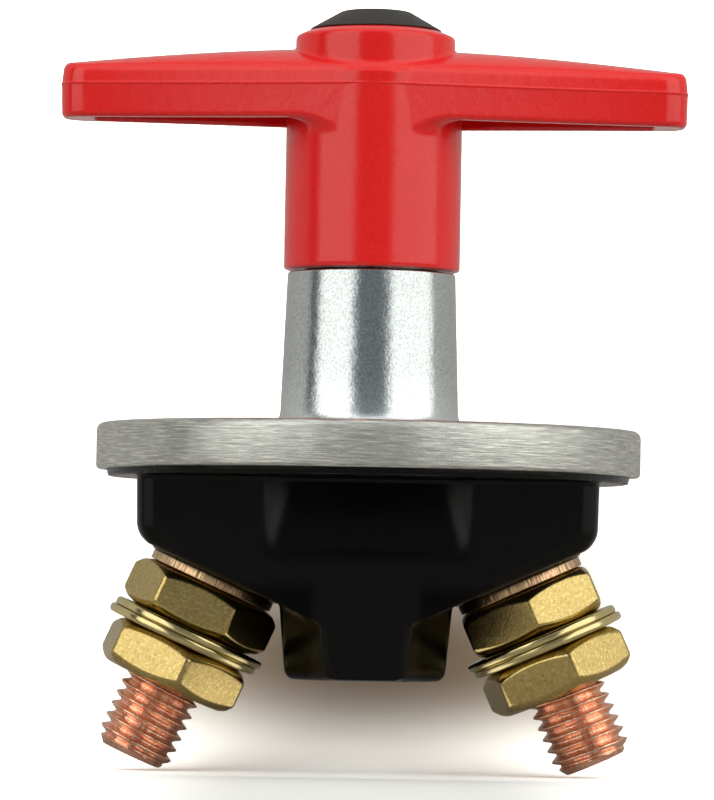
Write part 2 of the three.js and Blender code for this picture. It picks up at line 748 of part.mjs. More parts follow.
function contactBridge() {
  const wing = BRIDGE_THICK / Math.cos(TILT);
  const shape = new THREE.Shape([
    new THREE.Vector2(-BRIDGE_END_X, contactPlane(BRIDGE_END_X)),
    new THREE.Vector2(-BRIDGE_FLAT_X, BRIDGE_BOTTOM_Z),
    new THREE.Vector2(BRIDGE_FLAT_X, BRIDGE_BOTTOM_Z),
    new THREE.Vector2(BRIDGE_END_X, contactPlane(BRIDGE_END_X)),
    new THREE.Vector2(BRIDGE_END_X, contactPlane(BRIDGE_END_X) + wing),
    new THREE.Vector2(BRIDGE_FLAT_X, BRIDGE_TOP_Z),
    new THREE.Vector2(-BRIDGE_FLAT_X, BRIDGE_TOP_Z),
    new THREE.Vector2(-BRIDGE_END_X, contactPlane(BRIDGE_END_X) + wing),
  ]);
  const side = STEM + 2 * GAP;
  return cut(acrossY(shape, BRIDGE_WIDTH), [block(side, side, -20, 0)]);
}

function contactCarrier() {
  const plate = rod(CARRIER_PLATE_R, PLATE_BOTTOM_Z, PLATE_TOP_Z);
  const stem = block(STEM, STEM, STEM_BOTTOM_Z, PLATE_BOTTOM_Z + 0.5);
  const ribs = [-RIB_X, RIB_X].map((x) =>
    block(1.2, 1.6, PLATE_TOP_Z - 0.5, CAM_PEAK_Z - 0.6).translate(x, 0, 0));
  return join([plate, stem, ...ribs]);
}

function waveWasher() {
  return waveRing(24, WAVE_WASHER_R - 1.3, WAVE_WASHER_R, (degrees) => {
    const wave = BRIDGE_TOP_Z + 0.35 + 0.2 * Math.sin(THREE.MathUtils.degToRad(3 * degrees));
    return [wave, wave + 0.3];
  });
}

function springRetainer() {
  const side = STEM + 2 * GAP;
  const top = BRIDGE_BOTTOM_Z - GAP;
  return cut(rod(RETAINER_R, top - 1.5, top), [block(side, side, top - 3, top + 1)]);
}

// ---------------------------------------------------------------- assembly
const switchAssembly = new THREE.Group();
const parts = new THREE.Group();
parts.position.z = -LOWEST_Z;
switchAssembly.add(parts);

parts.add(named('housing', housing(), LOOKS.zinc()));
parts.add(named('case_body', caseBody(), LOOKS.blackPlastic()));
const gasketTop = DISC_BOTTOM_Z - STACK_GAP;
const gasket = ring(GASKET_INNER_R, GASKET_OUTER_R, gasketTop - GASKET_THICK, gasketTop, ROUND);
parts.add(named('case_gasket', gasket, LOOKS.rubber()));
bodyScrewSpots().forEach(([x, y], i) => {
  const screw = named(`body_screw_${i + 1}`, bodyScrew(), LOOKS.steel());
  screw.position.set(x, y, 0);
  parts.add(screw);
});
parts.add(named('spindle_bush', ring(JOURNAL_R + GAP, BUSH_BORE_R - 0.1, -2.5, 16.5), LOOKS.bronze()));
parts.add(terminal(-1, 'left'));
parts.add(terminal(1, 'right'));
[['left', -1], ['right', 1]].forEach(([name, side]) => {
  const ball = named(`detent_ball_${name}`, new THREE.SphereGeometry(BALL_R, 10, 6), LOOKS.steel());
  ball.position.set(side * DETENT_X, 0, DISC_BOTTOM_Z + BALL_R);
  parts.add(ball);
  const coil = spring(1.15, 0.25, 0.2, DETENT_BORE_TOP_Z - GAP, 6, 8, 4);
  const detentSpring = named(`detent_spring_${name}`, coil, LOOKS.steel());
  detentSpring.position.x = side * DETENT_X;
  parts.add(detentSpring);
});

parts.add(named('handle', handle(), LOOKS.redPaint()));
parts.add(named('handle_cap', handleCap(), LOOKS.blackCap()));
parts.add(named('handle_screw', handleScrew(), LOOKS.steel()));
const screwWasher = ring(
  HANDLE_SCREW_R + 2 * GAP,
  SCREW_WASHER_R,
  SCREW_WEB_Z + STACK_GAP,
  SCREW_WEB_Z + STACK_GAP + SCREW_WASHER_THICK,
);
parts.add(named('handle_screw_washer', screwWasher, LOOKS.steel()));
parts.add(named('spindle', spindle(), LOOKS.steel()));
const sealRing = new THREE.TorusGeometry(SEAL_RING_R, SEAL_WIRE_R, 8, 16);
const spindleSeal = named('spindle_seal', sealRing, LOOKS.rubber());
spindleSeal.position.z = SEAL_Z;
parts.add(spindleSeal);
parts.add(named('cam', cam(), LOOKS.whitePlastic()));
parts.add(named('cam_circlip', circlip(), LOOKS.steel()));

parts.add(named('contact_carrier', contactCarrier(), LOOKS.whitePlastic()));
parts.add(named('contact_bridge', contactBridge(), LOOKS.copper()));
parts.add(named('wave_washer', waveWasher(), LOOKS.steel()));
parts.add(named('spring_retainer', springRetainer(), LOOKS.steel()));
const coilBottom = BOSS_FLOOR_Z + STACK_GAP;
const returnCoil = spring(RETURN_COIL_R, RETURN_WIRE_R, coilBottom, BRIDGE_BOTTOM_Z - 2, 5, 10, 5);
parts.add(named('return_spring', returnCoil, LOOKS.steel()));

export default switchAssembly;
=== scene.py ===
import itertools
import json
import math

import bmesh
import bpy
import numpy as np
from mathutils import Matrix, Vector


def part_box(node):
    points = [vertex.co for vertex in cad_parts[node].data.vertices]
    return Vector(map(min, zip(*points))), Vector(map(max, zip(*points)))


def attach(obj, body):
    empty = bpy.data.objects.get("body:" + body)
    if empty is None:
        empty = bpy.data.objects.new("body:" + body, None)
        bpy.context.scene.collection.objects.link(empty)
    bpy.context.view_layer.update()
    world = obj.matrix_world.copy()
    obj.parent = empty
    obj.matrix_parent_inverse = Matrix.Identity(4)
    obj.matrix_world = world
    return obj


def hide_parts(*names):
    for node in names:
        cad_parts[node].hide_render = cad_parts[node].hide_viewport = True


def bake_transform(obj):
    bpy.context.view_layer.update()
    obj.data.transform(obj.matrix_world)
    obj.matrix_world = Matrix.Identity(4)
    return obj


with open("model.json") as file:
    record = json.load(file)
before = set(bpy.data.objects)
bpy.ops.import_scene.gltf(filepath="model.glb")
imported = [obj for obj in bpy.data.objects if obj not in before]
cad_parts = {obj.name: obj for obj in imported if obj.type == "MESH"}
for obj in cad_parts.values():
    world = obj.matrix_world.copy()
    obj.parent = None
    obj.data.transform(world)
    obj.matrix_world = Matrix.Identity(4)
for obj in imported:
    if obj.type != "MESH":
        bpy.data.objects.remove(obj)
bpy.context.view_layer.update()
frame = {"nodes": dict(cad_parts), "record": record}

MM = 0.001

# ------------------------------------------------------------------ sizes, in millimetres
# Heights are counted from the flange's top face. X runs along the two studs, -Y faces the camera.
# Zinc housing. Its spigot runs up inside the handle's sleeve.
FLANGE_R = 34.0
FLANGE_THICK = 5.75
DISC_THICK = 3.0
MOUNT_HOLE_R = 3.25
MOUNT_HOLE_Y = 26.0
NECK_BASE_R = 11.2
NECK_TOP_R = 10.5
NECK_TOP_Z = 19.3
NECK_FILLET_R = 1.9
SPIGOT_R = 8.2
SPIGOT_TOP = 26.5
SPINDLE_HOLE_R = 5.6
BUSH_SEAT_Z = 17.0
BUSH_HOLE_R = 6.2

# Black case. A pair of slope values is the unit normal of a slanting face.
LIP_R = 32.6
LIP_BOTTOM = -6.65
LIP_TOP = -3.8
CASE_X = 28.3
CASE_Y = 17.5
SLANT_CORNER_Z = -14.4
BODY_CORNER_R = 1.7
BOSS_BOTTOM = -31.5
BOSS_HALF = 10.72
BOSS_DRAFT = 0.085
BOSS_DRAFT_Z = -22.0
BOSS_CORNER_SLOPE = (0.871, 0.491)
BOSS_CORNER = 13.3
BOSS_BOTTOM_R = 1.3
RECESS_HALF = 12.7
RECESS_SIDE_SLOPE = (0.45, 0.893)
RECESS_DEPTH = 1.7
RECESS_TAPER = 0.135
RECESS_FOOT_Z = -17.2
PAD_R = 8.5
INSIDE_X = 25.0
INSIDE_Y = 13.9
INSIDE_WALL = 5.0
STEM_BORE_R = 6.2
STEM_BORE_Z = -28.2
SCREW_X = 14.0
SCREW_Y = 23.0

# Terminals.
TILT = math.radians(24)
SEAT_X = 19.0
SEAT_Z = -18.9
STUD_R = 5.0
STUD_OUT = 24.6
THREAD_PITCH = 1.5
THREAD_DEPTH = 0.92
STUD_CHAMFER = 1.2
STUD_CHAMFER_SLOPE = 0.8
STUD_HEAD_HALF = 6.5
STUD_HEAD_Z = (5.8, 9.3)
NUT_FLATS = 17.0
NUT_BORE_R = 5.06
NUT_BORE_CHAMFER = 0.55
NUT_CORNER_R = 0.8
WASHER_HOLE_R = 5.25

# Handle and its cap.
HANDLE_X = 39.3
HANDLE_UNDER = 38.1
UNDER_FILLET_R = 2.2
PARTING = 42.3
FLASH_HIGH = 0.09
FLASH_WIDE = 0.11
DRAFT_BELOW = 0.03
DRAFT_ABOVE = 0.13
ARM_TIP_HALF = 4.0
ARM_SWELL = 7.3
ARM_SWELL_POWER = 1.3
ARM_END_R = 3.0
ARM_EDGE_Z = 44.35
RIDGE_END_Z = 44.95
RIDGE_RISE = 2.3
RIDGE_FROM_X = 8.0
POCKET_WALL = 1.9
POCKET_END_WALL = 4.3
POCKET_TOP = 42.6
SLEEVE_R = 11.025
SLEEVE_BOTTOM = 19.6
SKIRT_R = 8.5
SKIRT_TOP = 27.2
SOCKET_HALF = 3.4
SOCKET_TOP = 41.5
WELL_R = 7.0
WELL_FLOOR = 44.0
HANDLE_SCREW_HOLE_R = 2.8
HUB_R = 10.0
HUB_SLOPE = (0.408, 0.913)
HUB_SHOULDER = 48.9
HUB_TOP = 49.7
CAP_TOP = 52.2
FLANGE_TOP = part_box("housing")[0].z + FLANGE_THICK * MM  # metres above the row frame's origin


# ------------------------------------------------------------------ meshes
def to_frame(points):
    """Millimetres from the flange's top face to metres in the row frame."""
    placed = np.asarray(points, float) * MM
    placed[:, 2] += FLANGE_TOP
    return placed


def piece(name, points, faces, node, body, slot, material, sharp=35.0, local=None):
    """One shown piece that stands for a CAD node; points are in millimetres.

    local holds the same points in the piece's own straight frame, for materials that follow it.
    """
    mesh = bpy.data.meshes.new(name)
    mesh.from_pydata(to_frame(points).tolist(), [], [list(f) for f in faces])
    mesh.validate()
    mesh.update()
    if local is not None:
        place = mesh.attributes.new("local_mm", "FLOAT_VECTOR", "POINT")
        place.data.foreach_set("vector", np.asarray(local, np.float32).ravel())
    obj = bpy.data.objects.new(name, mesh)
    bpy.context.scene.collection.objects.link(obj)
    shade(mesh, sharp)
    mesh.materials.append(material)
    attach(obj, body)
    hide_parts(node)
    return obj


def shade(mesh, sharp):
    mesh.shade_smooth()
    if sharp:
        mesh.set_sharp_from_angle(angle=math.radians(sharp))


def outward(obj):
    """Turns every face of a closed mesh to face out."""
    work = bmesh.new()
    work.from_mesh(obj.data)
    bmesh.ops.recalc_face_normals(work, faces=work.faces)
    work.to_mesh(obj.data)
    work.free()


def bevel(obj, width, segments, angle):
    modifier = obj.modifiers.new("bevel", "BEVEL")
    modifier.width = width * MM
    modifier.segments = segments
    modifier.limit_method = "ANGLE"
    modifier.angle_limit = math.radians(angle)
    apply_modifiers(obj)


def weigh_normals(obj):
    """Lets the large flat faces set the shading next to their rounded edges."""
    modifier = obj.modifiers.new("weigh", "WEIGHTED_NORMAL")
    modifier.keep_sharp = True
    apply_modifiers(obj)


def apply_modifiers(obj):
    bpy.context.view_layer.update()
    depsgraph = bpy.context.evaluated_depsgraph_get()
    made = bpy.data.meshes.new_from_object(obj.evaluated_get(depsgraph))
    obj.modifiers.clear()
    obj.data = made


def rounded(points, steps=5):
    """An outline whose points are (r, z, corner radius), with each corner turned into an arc."""
    outline = []
    count = len(points)
    for i, (x, y, radius) in enumerate(points):
        here = np.array([x, y], float)
        if not radius:
            outline.append(tuple(here))
            continue
        back = np.array(points[i - 1][:2], float) - here
        ahead = np.array(points[(i + 1) % count][:2], float) - here
        back /= np.linalg.norm(back)
        ahead /= np.linalg.norm(ahead)
        half = math.acos(float(np.clip(back @ ahead, -1, 1))) / 2
        middle = (back + ahead) / np.linalg.norm(back + ahead)
        centre = here + middle * radius / math.sin(half)
        start = here + back * radius / math.tan(half) - centre
        end = here + ahead * radius / math.tan(half) - centre
        sweep = math.atan2(start[0] * end[1] - start[1] * end[0], float(start @ end))
        for k in range(steps + 1):
            a = sweep * k / steps
            turn = np.array([[math.cos(a), -math.sin(a)], [math.sin(a), math.cos(a)]])
            outline.append(tuple(centre + turn @ start))
    return outline


def lathe(outline, segments=128):
    """Turns a (r, z) outline about Z. It closes on itself, or starts and ends on the axis."""
    open_ends = outline[0][0] == 0 and outline[-1][0] == 0
    points = []
    rows = []
    for r, z in outline:
        if r == 0:
            rows.append([len(points)] * segments)
            points.append((0, 0, z))
            continue
        rows.append(list(range(len(points), len(points) + segments)))
        for k in range(segments):
            a = 2 * math.pi * k / segments
            points.append((r * math.cos(a), r * math.sin(a), z))
    faces = []
    pairs = list(zip(rows, rows[1:]))
    if not open_ends:
        pairs.append((rows[-1], rows[0]))
    for low, high in pairs:
        for k in range(segments):
            n = (k + 1) % segments
            corners = [low[k], low[n], high[n], high[k]]
            face = [c for j, c in enumerate(corners) if c not in corners[:j]]
            if len(face) > 2:
                faces.append(face)
    return points, faces


def cut_with(obj, cutters):
    """Boolean-cuts closed cutters, in millimetres, from obj."""
    for points, faces in cutters:
        mesh = bpy.data.meshes.new("cutter")
        mesh.from_pydata(to_frame(points).tolist(), [], faces)
        tool = bpy.data.objects.new("cutter", mesh)
        bpy.context.scene.collection.objects.link(tool)
        outward(tool)
        modifier = obj.modifiers.new("cut", "BOOLEAN")
        modifier.operation = "DIFFERENCE"
        modifier.solver = "EXACT"
        modifier.object = tool
        apply_modifiers(obj)
        bpy.data.objects.remove(tool)


def moved(shape, x=0.0, y=0.0, z=0.0):
    points, faces = shape
    return [(px + x, py + y, pz + z) for px, py, pz in points], faces


# ------------------------------------------------------------------ smooth solids from distance fields
def both(a, b, radius):
    """Where both fields are solid, with the convex edge rounded."""
    corner = np.sqrt(np.maximum(radius + a, 0) ** 2 + np.maximum(radius + b, 0) ** 2)
    return np.minimum(-radius, np.maximum(a, b)) + corner


def either(a, b, radius):
    """Where either field is solid, with the concave corner filled by a fillet."""
    corner = np.sqrt(np.maximum(radius - a, 0) ** 2 + np.maximum(radius - b, 0) ** 2)
    return np.maximum(radius, np.minimum(a, b)) - corner


def without(a, b, radius):
    """Field a with field b cut away."""
    return both(a, -b, radius)


def ease(low, high, value):
    t = np.clip((value - low) / (high - low), 0, 1)
    return t * t * (3 - 2 * t)


def spread(low, high, step, fine=()):
    """Grid lines from low to high, with a closer spacing inside each (from, to, step) range."""
    lines = [low]
    while lines[-1] < high:
        here = lines[-1]
        size = step
        for start, end, small in fine:
            if start - 1e-6 <= here < end:
                size = small
            elif here < start < here + size:
                size = start - here
        lines.append(here + size)
    return np.array(lines)


def net(field, axes, step):
    """Quads on the zero surface of a field, by surface nets with the points pulled onto the surface."""
    grid = np.meshgrid(*axes, indexing="ij")
    value = field(*grid)
    solid = value < 0
    shape = [n - 1 for n in value.shape]
    corners = list(itertools.product((0, 1), repeat=3))

    def shifted(array, offset):
        return array[tuple(slice(o, o + n) for o, n in zip(offset, shape))]

    total = sum(shifted(solid, c).astype(np.int8) for c in corners)
    active = (total > 0) & (total < 8)
    cells = np.argwhere(active)
    index = np.full(shape, -1, np.int64)
    index[active] = np.arange(len(cells))
    levels = {c: shifted(value, c)[active] for c in corners}
    crossing = np.zeros((len(cells), 3))
    hits = np.zeros(len(cells))
    for a, b in itertools.combinations(corners, 2):
        if sum(abs(i - j) for i, j in zip(a, b)) != 1:
            continue
        fa, fb = levels[a], levels[b]
        change = (fa < 0) != (fb < 0)
        t = fa[change] / (fa[change] - fb[change])
        start, end = np.array(a, float), np.array(b, float)
        crossing[change] += start + t[:, None] * (end - start)
        hits[change] += 1
    inside_cell = crossing / hits[:, None]
    points = np.empty((len(cells), 3))
    for a in range(3):
        start = axes[a][cells[:, a]]
        points[:, a] = start + inside_cell[:, a] * (axes[a][cells[:, a] + 1] - start)
    nudge = 0.03
    for _ in range(4):
        x, y, z = points.T
        here = field(x, y, z)
        slope = np.stack([
            field(x + nudge, y, z) - field(x - nudge, y, z),
            field(x, y + nudge, z) - field(x, y - nudge, z),
            field(x, y, z + nudge) - field(x, y, z - nudge),
        ], 1) / (2 * nudge)
        steepness = np.maximum((slope ** 2).sum(1), 0.05)
        move = -here[:, None] * slope / steepness[:, None]
        length = np.linalg.norm(move, axis=1)
        points += move * np.minimum(1, step / np.maximum(length, 1e-9))[:, None]
    faces = []
    for axis in range(3):
        u, v = (axis + 1) % 3, (axis + 2) % 3
        first = np.take(solid, range(shape[axis]), axis)
        second = np.take(solid, range(1, shape[axis] + 1), axis)
        edges = np.argwhere(first != second)
        inside = np.ones(len(edges), bool)
        for other in (u, v):
            inside &= (edges[:, other] > 0) & (edges[:, other] < shape[other])
        edges = edges[inside]
        ring = []
        for du, dv in ((-1, -1), (0, -1), (0, 0), (-1, 0)):
            cell = edges.copy()
            cell[:, u] += du
            cell[:, v] += dv
            ring.append(index[tuple(cell.T)])
        quads = np.stack(ring, 1)
        flip = ~first[tuple(edges.T)]
        quads[flip] = quads[flip][:, ::-1]
        faces.append(quads)
    return points, np.concatenate(faces).tolist()


# ------------------------------------------------------------------ shader nodes
def math_node(tree, operation, *terms):
    """A math node's result; each term is a number or another node's output."""
    node = tree.nodes.new("ShaderNodeMath")
    node.operation = operation
    feed(tree, zip(node.inputs, terms))
    return node.outputs[0]


def feed(tree, pairs):
    """Gives each input its plain value, or links it to an output."""
    for slot, term in pairs:
        if isinstance(term, bpy.types.NodeSocket):
            tree.links.new(term, slot)
        else:
            slot.default_value = term


def map_node(tree, value, from_min, from_max, to_min=0.0, to_max=1.0, kind="LINEAR"):
    node = tree.nodes.new("ShaderNodeMapRange")
    node.interpolation_type = kind
    limits = {"From Min": from_min, "From Max": from_max, "To Min": to_min, "To Max": to_max}
    feed(tree, [(node.inputs["Value"], value)] + [(node.inputs[name], limits[name]) for name in limits])
    return node.outputs[0]


def mix_node(tree, factor, low, high):
    """The colour low, high, or what lies between; each is a tuple or another node's output."""
    node = tree.nodes.new("ShaderNodeMix")
    node.data_type = "RGBA"
    feed(tree, [(node.inputs["Factor"], factor), (node.inputs[6], low), (node.inputs[7], high)])
    return node.outputs[2]


def split_node(tree, vector):
    node = tree.nodes.new("ShaderNodeSeparateXYZ")
    tree.links.new(vector, node.inputs[0])
    return node.outputs


def window(tree, value, low, high, soft):
    """A value that is 1 between low and high, falling to 0 over soft on each side."""
    rise = map_node(tree, value, low - soft, low + soft, kind="SMOOTHSTEP")
    fall = map_node(tree, value, high + soft, high - soft, kind="SMOOTHSTEP")
    return math_node(tree, "MULTIPLY", rise, fall)


# ------------------------------------------------------------------ materials
class Look:
    """A small builder for one node-based material."""

    def __init__(self, name, color, metallic, roughness, follow_piece=False):
        self.material = bpy.data.materials.new(name)
        self.material.use_nodes = True
        self.tree = self.material.node_tree
        self.nodes = self.material.node_tree.nodes
        self.links = self.material.node_tree.links
        self.shader = self.nodes["Principled BSDF"]
        if follow_piece:
            own = self.nodes.new("ShaderNodeAttribute")
            own.attribute_name = "local_mm"
            self.place = self.scaled(own.outputs["Vector"], (MM, MM, MM))
        else:
            self.place = self.nodes.new("ShaderNodeTexCoord").outputs["Object"]
        self.color = self.rgb(color)
        self.height = None
        self.set("Metallic", metallic)
        self.rough = self.value(roughness)

    def set(self, name, value):
        self.shader.inputs[name].default_value = value

    def rgb(self, color):
        node = self.nodes.new("ShaderNodeRGB")
        node.outputs[0].default_value = (*color, 1)
        return node.outputs[0]

    def value(self, number):
        node = self.nodes.new("ShaderNodeValue")
        node.outputs[0].default_value = number
        return node.outputs[0]

    def math(self, operation, *terms):
        return math_node(self.tree, operation, *terms)

    def scaled(self, vector, scale):
        node = self.nodes.new("ShaderNodeMapping")
        node.inputs["Scale"].default_value = scale
        self.links.new(vector, node.inputs["Vector"])
        return node.outputs[0]

    def noise(self, per_mm, detail=3.0, vector=None, rough=0.55, stretch=(1, 1, 1)):
        node = self.nodes.new("ShaderNodeTexNoise")
        node.inputs["Scale"].default_value = 1.0
        node.inputs["Detail"].default_value = detail
        node.inputs["Roughness"].default_value = rough
        scale = tuple(per_mm / MM * s for s in stretch)
        self.links.new(self.scaled(vector or self.place, scale), node.inputs["Vector"])
        return node.outputs["Fac"]

    def ramp(self, value, low, high, at_low=0.0, at_high=1.0):
        return map_node(self.tree, value, low, high, at_low, at_high)

    def blend(self, factor, color):
        """Mixes another colour over what there is so far."""
        self.color = mix_node(self.tree, factor, self.color, (*color, 1))

    def add_rough(self, value, amount):
        shift = self.math("MULTIPLY", self.math("SUBTRACT", value, 0.5), 2 * amount)
        self.rough = self.math("MAXIMUM", self.math("ADD", self.rough, shift), 0.02)

    def add_height(self, value, depth_mm):
        raised = self.math("MULTIPLY", value, depth_mm * MM)
        self.height = raised if self.height is None else self.math("ADD", self.height, raised)

    def done(self):
        self.links.new(self.color, self.shader.inputs["Base Color"])
        self.links.new(self.rough, self.shader.inputs["Roughness"])
        if self.height is not None:
            bump = self.nodes.new("ShaderNodeBump")
            bump.inputs["Distance"].default_value = 1.0
            self.links.new(self.height, bump.inputs["Height"])
            self.links.new(bump.outputs[0], self.shader.inputs["Normal"])
        return self.material


def red_paint():
    look = Look("red_paint", (0.7, 0.008, 0.007), 0.0, 0.17)
    look.blend(look.ramp(look.noise(2.2, 4.0), 0.45, 0.7, 0.0, 0.5), (0.8, 0.02, 0.018))
    look.blend(look.ramp(look.noise(0.05, 2.0), 0.45, 0.7, 0.0, 0.3), (0.65, 0.007, 0.007))
    look.add_rough(look.noise(0.3), 0.05)
    look.add_height(look.noise(0.45, 2.0), 0.035)
    look.add_height(look.noise(3.5, 2.0), 0.013)
    return look.done()


def cap_plastic():
    look = Look("cap_plastic", (0.02, 0.018, 0.018), 0.0, 0.5)
    look.set("Specular IOR Level", 0.4)
    look.blend(look.ramp(look.noise(2.5, 4.0), 0.5, 0.8, 0.0, 0.5), (0.034, 0.03, 0.03))
    look.add_height(look.noise(3.0, 4.0), 0.03)
    look.add_rough(look.noise(0.6), 0.08)
    return look.done()


def zinc():
    look = Look("zinc", (0.62, 0.655, 0.66), 1.0, 0.16)
    x, y, z = split_node(look.tree, look.place)
    squares = look.math("ADD", look.math("MULTIPLY", x, x), look.math("MULTIPLY", y, y))
    radius = look.math("SQRT", squares)
    on_rim = look.ramp(radius, 32.9 * MM, 33.5 * MM)
    around = look.math("MULTIPLY", look.math("ARCTAN2", y, x), FLANGE_R * MM)
    join = look.nodes.new("ShaderNodeCombineXYZ")
    look.links.new(look.math("MULTIPLY", around, 0.05), join.inputs[0])
    look.links.new(look.math("ADD", z, look.math("MULTIPLY", around, 0.012)), join.inputs[2])
    streaks = look.noise(5.0, 5.0, join.outputs[0], 0.75)
    look.blend(look.ramp(look.noise(0.12, 3.0), 0.45, 0.7, 0.0, 0.35), (0.56, 0.6, 0.61))
    look.blend(look.ramp(look.noise(3.8, 3.0, None, 0.7), 0.45, 0.6, 0.0, 0.6), (0.76, 0.79, 0.76))
    look.blend(look.ramp(look.noise(3.4, 3.0, None, 0.7), 0.55, 0.4, 0.0, 0.7), (0.36, 0.39, 0.4))
    up_neck = look.ramp(z, FLANGE_TOP + 3 * MM, FLANGE_TOP + NECK_TOP_Z * MM)
    look.blend(look.math("MULTIPLY", up_neck, 0.3), (0.44, 0.47, 0.48))
    look.blend(look.ramp(z, FLANGE_TOP + 7 * MM, FLANGE_TOP, 0.0, 0.5), (0.9, 0.94, 0.94))
    look.blend(on_rim, (0.56, 0.57, 0.545))
    look.blend(look.math("MULTIPLY", on_rim, look.ramp(streaks, 0.5, 0.6, 0.0, 0.85)), (0.36, 0.36, 0.33))
    look.blend(look.math("MULTIPLY", on_rim, look.ramp(streaks, 0.47, 0.38, 0.0, 0.7)), (1.0, 0.98, 0.86))
    look.rough = look.math("ADD", look.rough, look.math("MULTIPLY", on_rim, 0.14))
    near_foot = look.ramp(z, FLANGE_TOP + 4 * MM, FLANGE_TOP, 0.0, 0.12)
    off_rim = look.math("SUBTRACT", 1.0, on_rim)
    look.rough = look.math("ADD", look.rough, look.math("MULTIPLY", near_foot, off_rim))
    grain = look.noise(3.0, 3.0, None, 0.7)
    look.add_rough(grain, 0.05)
    look.add_height(look.math("MULTIPLY", streaks, on_rim), 0.06)
    look.add_height(grain, 0.02)
    look.add_height(look.noise(0.35, 2.0), 0.06)
    return look.done()


def case_plastic():
    look = Look("case_plastic", (0.0012, 0.0012, 0.0012), 0.0, 0.22)
    x, _, z = split_node(look.tree, look.place)
    beside = look.ramp(look.math("ABSOLUTE", x), 6.2 * MM, 7.0 * MM)
    low = look.ramp(z, FLANGE_TOP - 19 * MM, FLANGE_TOP - 21 * MM)
    dulled = look.ramp(look.math("MULTIPLY", beside, low), 0, 1, 0.18, 0.07)
    look.links.new(dulled, look.shader.inputs["Specular IOR Level"])
    look.add_rough(look.noise(0.25, 3.0), 0.06)
    look.blend(look.ramp(look.noise(1.2, 4.0), 0.55, 0.8, 0.0, 0.5), (0.004, 0.004, 0.004))
    look.add_height(look.noise(0.5, 3.0), 0.01)
    look.add_height(look.noise(5.0, 2.0), 0.002)
    return look.done()


def brass():
    look = Look("brass", (0.54, 0.4, 0.145), 1.0, 0.24, True)
    look.blend(look.ramp(look.noise(0.25, 3.0), 0.4, 0.7, 0.0, 0.5), (0.48, 0.355, 0.13))
    look.blend(look.ramp(look.noise(2.6, 4.0, None, 0.7), 0.5, 0.68, 0.0, 0.6), (0.86, 0.72, 0.36))
    look.blend(look.ramp(look.noise(2.3, 4.0, None, 0.7), 0.5, 0.34, 0.0, 0.6), (0.34, 0.24, 0.08))
    look.add_rough(look.noise(1.2, 4.0), 0.07)
    look.add_height(look.noise(2.6, 3.0), 0.02)
    look.add_height(look.noise(0.5, 2.0), 0.02)
    return look.done()


def washer_brass():
    look = Look("washer_brass", (0.68, 0.57, 0.28), 1.0, 0.15, True)
    look.blend(look.ramp(look.noise(0.4, 3.0), 0.4, 0.7, 0.0, 0.5), (0.52, 0.43, 0.2))
    look.add_rough(look.noise(2.0, 4.0), 0.08)
    look.add_height(look.noise(2.5, 3.0), 0.01)
    look.add_height(look.noise(2.0, 2.0, None, 0.5, (0.15, 0.15, 4.0)), 0.02)
    return look.done()


def copper():
    look = Look("copper", (1.0, 0.53, 0.37), 1.0, 0.2, True)
    look.blend(look.ramp(look.noise(0.5, 4.0), 0.48, 0.64, 0.0, 0.38), (0.5, 0.2, 0.12))
    look.blend(look.ramp(look.noise(1.6, 3.0, None, 0.7), 0.48, 0.64, 0.0, 0.85), (1.0, 0.8, 0.62))
    look.blend(look.ramp(look.noise(2.0, 3.0, None, 0.7), 0.46, 0.34, 0.0, 0.35), (0.42, 0.15, 0.08))
    look.add_rough(look.noise(1.5, 4.0), 0.12)
    look.add_height(look.noise(2.2, 4.0), 0.06)
    look.add_height(look.noise(0.6, 2.0), 0.08)
    return look.done()


def collar_copper():
    look = Look("collar_copper", (0.74, 0.5, 0.28), 1.0, 0.22, True)
    look.blend(look.ramp(look.noise(0.3, 3.0), 0.4, 0.65, 0.0, 0.6), (0.42, 0.22, 0.14))
    grooves = look.noise(3.2, 3.0, None, 0.6, (1.0, 1.0, 0.06))
    look.blend(look.ramp(grooves, 0.48, 0.66, 0.0, 0.6), (0.95, 0.76, 0.44))
    look.blend(look.ramp(grooves, 0.5, 0.36, 0.0, 0.7), (0.2, 0.1, 0.06))
    look.add_height(grooves, 0.12)
    return look.done()


def plain_metal(name, color, roughness):
    look = Look(name, color, 1.0, roughness)
    dark = tuple(0.75 * c for c in color)
    look.blend(look.ramp(look.noise(0.5, 3.0), 0.4, 0.7, 0.0, 0.6), dark)
    look.add_rough(look.noise(2.0, 3.0), 0.08)
    look.add_height(look.noise(4.0, 2.0), 0.004)
    return look.done()


def plain_moulding(name, color, roughness):
    look = Look(name, color, 0.0, roughness)
    dark = tuple(0.7 * c for c in color)
    look.blend(look.ramp(look.noise(0.4, 3.0), 0.4, 0.75, 0.0, 0.5), dark)
    look.add_rough(look.noise(1.0, 3.0), 0.06)
    look.add_height(look.noise(2.0, 3.0), 0.01)
    return look.done()


# ------------------------------------------------------------------ handle
def arm_half_depth(x):
    """Half the handle's depth at a distance x from the spindle: a boat-shaped plan."""
    along = np.clip(np.abs(x) / HANDLE_X, 0, 1)
    return np.minimum(ARM_TIP_HALF + ARM_SWELL * (1 - along) ** ARM_SWELL_POWER, SLEEVE_R - 0.05)


